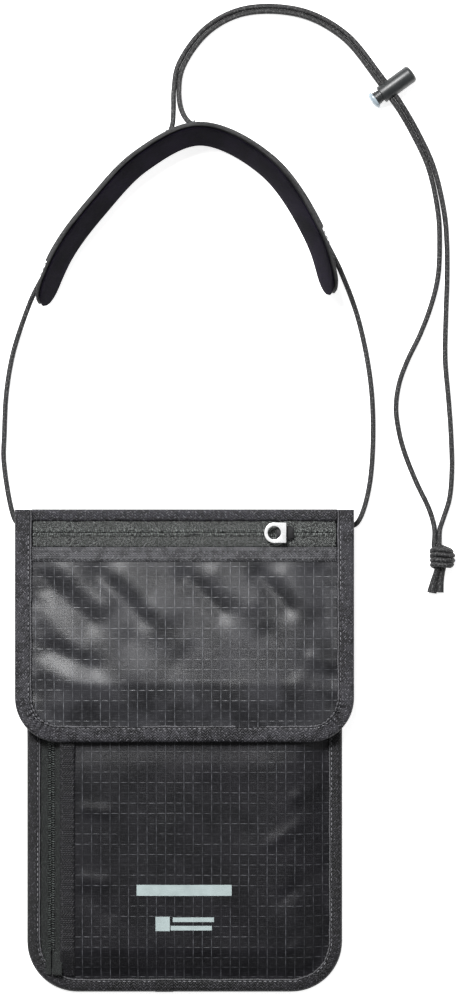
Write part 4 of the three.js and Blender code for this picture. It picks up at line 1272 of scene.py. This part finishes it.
ribbon = layCloth("bodyZipPuller", 3.2 * mm, ribbonLength * mm, (0.4 * mm, 0.4 * mm), ribbonLay, 0.35 * mm)
settle(ribbon, "body_slider", ["body_zip_puller"], ribbonTape)

print("closure patches")
patch = {"half": 30, "low": 15, "high": 33}


def closurePatch(name, z, up, body, node):
    width, length = 2 * patch["half"] * mm, (patch["high"] - patch["low"]) * mm

    def place(a, b):
        fromEnds = np.minimum(b - patch["low"] * mm, patch["high"] * mm - b)
        edge = np.minimum(patch["half"] * mm - np.abs(a), fromEnds)
        drop = 0.12 * mm * (1 - ease(edge, 0, 1.2 * mm)) * up
        return np.stack([a, b, z * mm - drop + 0 * a], 1)

    base = layCloth(name, width, length, (0.6 * mm, 0.6 * mm), place, 0.25 * mm,
                    (-patch["half"] * mm, patch["low"] * mm))
    deselect()
    bpy.ops.mesh.primitive_torus_add(major_segments=8, minor_segments=4, major_radius=0.22 * mm,
                                     minor_radius=0.05 * mm, location=(0, 0, 0), rotation=(math.pi / 2, 0, 0))
    loop = named("oneLoop")
    moveMesh(loop, loop.matrix_world.copy())
    loop.matrix_world = Matrix.Identity(4)
    places = []
    for i in range(44):
        for j in range(13):
            x = -patch["half"] + 2 + i * 1.3
            y = patch["low"] + 1.6 + j * 1.24 + 0.3 * math.sin(i * 2.1)
            spot = Matrix.Translation(Vector((x, y, z + 0.14 * up)) * mm)
            places.append(spot @ Matrix.Rotation(i * 1.3 + j * 2.2, 4, "Z"))
    loops = copyTo(loop, name + "Loops", places)
    bpy.data.objects.remove(loop)
    settle(loops, body, None, hookLoop)
    return settle(base, body, [node], hookLoop)


closurePatch("loopPatch", 8.58, 1, "pouch", "loop_patch")
closurePatch("hookPatch", 9.2, -1, "flap", "hook_patch")

print("cord tabs")
for side, node in ((-1, "cord_tab_left"), (1, "cord_tab_right")):
    tabLine = smoothLine([(74.6, 0, 0.5), (76.4, 0, 0.35), (77.9, 0, 0.7), (78.2, 0, 1.45), (77.9, 0, 2.3),
                          (76.4, 0, 2.75), (74.6, 0, 2.6)])
    tabLength = distances(tabLine)[-1]

    def tabPlace(a, b, side=side, line=tabLine):
        at, ahead = alongLine(line, b / mm)
        return np.stack([side * at[:, 0] * mm, a, at[:, 2] * mm], 1)

    tabName = "cordTabLeft" if side < 0 else "cordTabRight"
    tab = layCloth(tabName, 7 * mm, tabLength * mm, (0.7 * mm, 0.3 * mm), tabPlace, 0.4 * mm, (104 * mm, 0))
    settle(tab, "pouch", [node], ribbonTape)


print("neck pad")
pad = {"width": 25, "lean": math.radians(15), "lift": 1, "foot": 5.25, "tip": 12}
padPoints = [(-69, 212.5), (-57.5, 238), (-41, 260), (-20.5, 281), (7.5, 293.8), (39.8, 278.3), (62.3, 245),
             (71, 217.5)]
padLine = smoothLine([(x, y, 0) for x, y in padPoints], 60)
padLength = distances(padLine)[-1]


def onPad(s, across, out):
    # s along the pad, across its width from the middle, out through its layers, all in millimetres
    at, ahead = alongLine(padLine, s)
    height = pad["width"] / 2 + across
    reach = height * math.sin(pad["lean"]) + out * math.cos(pad["lean"]) - pad["foot"]
    z = pad["lift"] + height * math.cos(pad["lean"]) - out * math.sin(pad["lean"])
    outward = np.stack([-ahead[:, 1], ahead[:, 0], 0 * z], 1)
    return (at + outward * reach[:, None] + np.stack([0 * z, 0 * z, z], 1)) * mm


def padForm(name, low, high, inset, crown, swell, step=1.0):
    # a closed strip with rounded tips, thickest along its middle
    half = pad["width"] / 2 - inset
    girth = 2 * (2 * half + (high - low))
    total = padLength - 2 * inset

    def place(a, b):
        turn = a / mm / girth * 2 * math.pi
        s = b / mm + inset
        tip = np.clip((np.minimum(s, padLength - s) - inset) / pad["tip"], 0, 1)
        reach = half * np.maximum(0.02, np.sqrt(1 - (1 - tip) ** 2))
        cos, sin = np.cos(turn), np.sin(turn)
        across = reach * np.sign(cos) * np.abs(cos) ** 0.55
        thick = (high - low) / 2 * np.maximum(0.1, np.minimum(1, tip * 2.2) ** 0.6)
        out = (low + high) / 2 + thick * np.sign(sin) * np.abs(sin) ** 0.45
        level = 1 - (across / half) ** 2
        out = out + np.where(sin > 0, swell, -crown) * level
        return onPad(s, across, out)

    return layCloth(name, girth * mm, total * mm, (girth / 64 * mm, step * mm), place, wrap=True)


padBack = padForm("neckPadBack", 0, 0.75, 0, 0.5, 0.0)
settle(padBack, "pouch", ["neck_pad_base"], padMesh)
padBody = padForm("neckPadBody", 1.0, 3.35, 0.15, 0.0, 0.25)
settle(padBody, "pouch", ["neck_pad_foam", "neck_pad_cover"], padCloth)

sleeve = {"start": 20, "end": padLength - 31}


def sleevePlace(a, b):
    t = a / mm
    s = b / mm
    x = np.interp(t, [0, 3.6, 5.2, 7.2, 9.5, 11.8, 13.8, 15.4, 19],
                  [-7.5, -4, -3.5, -2.4, 0, 2.4, 3.5, 4, 7.5])
    out = np.interp(t, [0, 3.6, 5.2, 7.2, 9.5, 11.8, 13.8, 15.4, 19],
                    [3.75, 3.9, 5.1, 6.9, 7.5, 6.9, 5.1, 3.9, 3.75])
    return onPad(s, x, out)


padSleeve = layCloth("neckPadSleeve", 19 * mm, (sleeve["end"] - sleeve["start"]) * mm, (0.5 * mm, 1 * mm),
                     sleevePlace, 0.45 * mm, (0, sleeve["start"] * mm))
useModifier(padSleeve, "SUBSURF", levels=1, render_levels=1)
settle(padSleeve, "pouch", ["neck_pad_sleeve"], sleeveCloth)

# pale rings where the cords leave the sleeve; their pale colour is a painted highlight on the folded edges of
# the openings
exitHighlightRims = []
for i, line in enumerate((leftLine, rightLine)):
    run = distances(line)
    near = run[np.argmin(np.abs(line[:, 1] - (0.2944, 0.2981)[i]) + (line[:, 2] < 0.01))]
    at, ahead = alongLine(line, np.array([near]))
    deselect()
    bpy.ops.mesh.primitive_torus_add(major_segments=28, minor_segments=10, major_radius=1.75 * mm,
                                     minor_radius=0.42 * mm, location=(0, 0, 0))
    exitHighlightRim = named(f"cordExitHighlightRim{i}")
    ridge = np.array([v.co for v in exitHighlightRim.data.vertices])
    turn = np.arctan2(ridge[:, 1], ridge[:, 0])
    ridge *= (1 + 0.05 * np.sin(14 * turn))[:, None]
    exitHighlightRim.data.vertices.foreach_set("co", ridge.ravel())
    turnTo = Vector((0, 0, 1)).rotation_difference(Vector(ahead[0])).to_matrix().to_4x4()
    moveMesh(exitHighlightRim, Matrix.Translation(Vector(at[0])) @ turnTo)
    exitHighlightRims.append(exitHighlightRim)
exitHighlightRim = joined(exitHighlightRims, "cordExitHighlightRims")
choose(exitHighlightRim)
bpy.ops.object.shade_smooth()
# the pale thread here paints the highlight on the folded edges of the cord openings
settle(exitHighlightRim, "pouch", None, paleThread)


def padRow(across, out, start, end):
    s = np.linspace(start, end, 500)
    return onPad(s, np.full_like(s, across), np.full_like(s, out))


padRows = []
for across, out in ((-6.4, 4.1), (6.4, 4.1), (-11, 3.5), (11, 3.5)):
    way = padRow(across, out, *((22, padLength - 33) if abs(across) < 7 else (12, padLength - 12)))
    outFrom = padRow(across, out - 1, *((22, padLength - 33) if abs(across) < 7 else (12, padLength - 12)))
    total = distances(way)[-1]
    count = int(total / (2.6 * mm))
    where = (np.arange(count) + 0.5) * total / count
    at, ahead = alongLine(way, where)
    under, _ = alongLine(outFrom, where * distances(outFrom)[-1] / total)
    size = Matrix.Diagonal((1.9 * mm, 1.9 * mm, 1.9 * mm, 1))
    padRows.append([frameAt(p, d, p - u) @ size for p, d, u in zip(at, ahead, under)])
stitches("neckPadStitches", padRows, "pouch", darkThread)

print("cord lock")
lock = {"radius": 4.3, "bore": 3.4, "length": 18.3, "floor": 2, "slotLong": 3.1, "slotHigh": 1.65}
lockOrigin = Vector(lockCentre - 4 * lockAxis)
lockFrame = Matrix((Vector((0, 0, 1)), Vector(lockRun), Vector(lockAxis))).transposed().to_4x4()
lockFrame.translation = lockOrigin * mm


def lockSlot(name, grow=0, travel=0):
    # a slot right through, long along the barrel
    deselect()
    bpy.ops.mesh.primitive_cylinder_add(vertices=40, radius=(lock["slotHigh"] + grow) * mm, depth=20 * mm,
                                        location=(0, 0, 0))
    piece = named(name)
    moveMesh(piece, Matrix.Translation((0, 0, 4 * mm)) @ Matrix.Rotation(math.pi / 2, 4, "X"))
    stretch = (lock["slotLong"] - lock["slotHigh"]) * mm
    co = np.array([v.co for v in piece.data.vertices])
    co[:, 2] += np.where(co[:, 2] > 4 * mm, stretch, -stretch - travel * mm)
    piece.data.vertices.foreach_set("co", co.ravel())
    return piece


barrel = pin("lockBarrel", lock["radius"], lock["length"], (0, 0, lock["length"] / 2), (0, 0, 1), 0, 72)
for end, offset, segments in ((lock["length"], 1.7, 7), (0, 0.35, 3)):
    pick(barrel, lambda e, end=end: abs(midOf(e).z - end * mm) < 0.02 * mm, "EDGE")
    bpy.ops.mesh.bevel(offset=offset * mm, segments=segments)
    doneEditing()
boreDepth = lock["length"] - lock["floor"]
barrel = cutBy(barrel, pin("lockBore", lock["bore"], 2 * boreDepth, (0, 0, 0), (0, 0, 1), 0, 72))
barrel = cutBy(barrel, lockSlot("lockSlotCut"))


def onSlotRim(e):
    middle = midOf(e)
    outside = math.hypot(middle.x, middle.y) > (lock["radius"] - 0.15) * mm
    byTheSlot = abs(middle.y) > 2.2 * mm and 0.6 * mm < middle.z < 7.4 * mm
    return outside and byTheSlot and e.calc_face_angle(0) > 0.6


pick(barrel, onSlotRim, "EDGE")
bpy.ops.mesh.bevel(offset=0.16 * mm, segments=3)
doneEditing()
softShade(barrel, 32)
moveMesh(barrel, lockFrame)
settle(barrel, "cord_lock", ["lock_barrel"], lockPlastic)

stem = pin("lockStem", 3.15, 13, (0, 0, 3), (0, 0, 1), 0.15, 64)
for z in (-2.9, -1.9, -0.9):
    stem = addTo(stem, pin("lockRib", 3.36, 0.5, (0, 0, z), (0, 0, 1), 0.14, 64))
stem = cutBy(stem, lockSlot("stemSlotCut", travel=3.1))
stem.name = "lockStem"
softShade(stem, 32)
moveMesh(stem, lockFrame)
settle(stem, "lock_button", None, lockPlastic)

# the button's domed cap
cap = pin("lockCap", 4.4, 1, (0, 0, -4), (0, 0, 1), 0, 72)
for inset, drop in ((0.25, -0.35), (0.5, -0.45), (0.8, -0.35), (1.1, -0.2)):
    pick(cap, lambda f: f.normal.z < -0.99, "FACE")
    bpy.ops.mesh.extrude_region_move(TRANSFORM_OT_translate={"value": (0, 0, drop * mm)})
    bpy.ops.transform.resize(value=(1 - inset / 4.4, 1 - inset / 4.4, 1))
    doneEditing()
pick(cap, lambda e: midOf(e).z > -3.51 * mm, "EDGE")
bpy.ops.mesh.bevel(offset=0.25 * mm, segments=3)
doneEditing()
softShade(cap, 50)
moveMesh(cap, lockFrame)
settle(cap, "lock_button", ["lock_plunger"], buttonPlastic)

springTurns = np.linspace(0, 5.5 * 2 * math.pi, 300)
springLine = np.stack([2.4 * np.cos(springTurns), 2.4 * np.sin(springTurns),
                       9.9 + 5.5 * springTurns / springTurns[-1]], 1) * mm
spring = roundTube("lockSpring", springLine, 0.25 * mm, 0.5 * mm, 8, side=(0, 0, 1))
moveMesh(spring, lockFrame)
settle(spring, "cord_lock", ["lock_spring"], springSteel)
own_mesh(spring)

for leftOver in (oneStitch, oneTooth):
    bpy.data.objects.remove(leftOver)
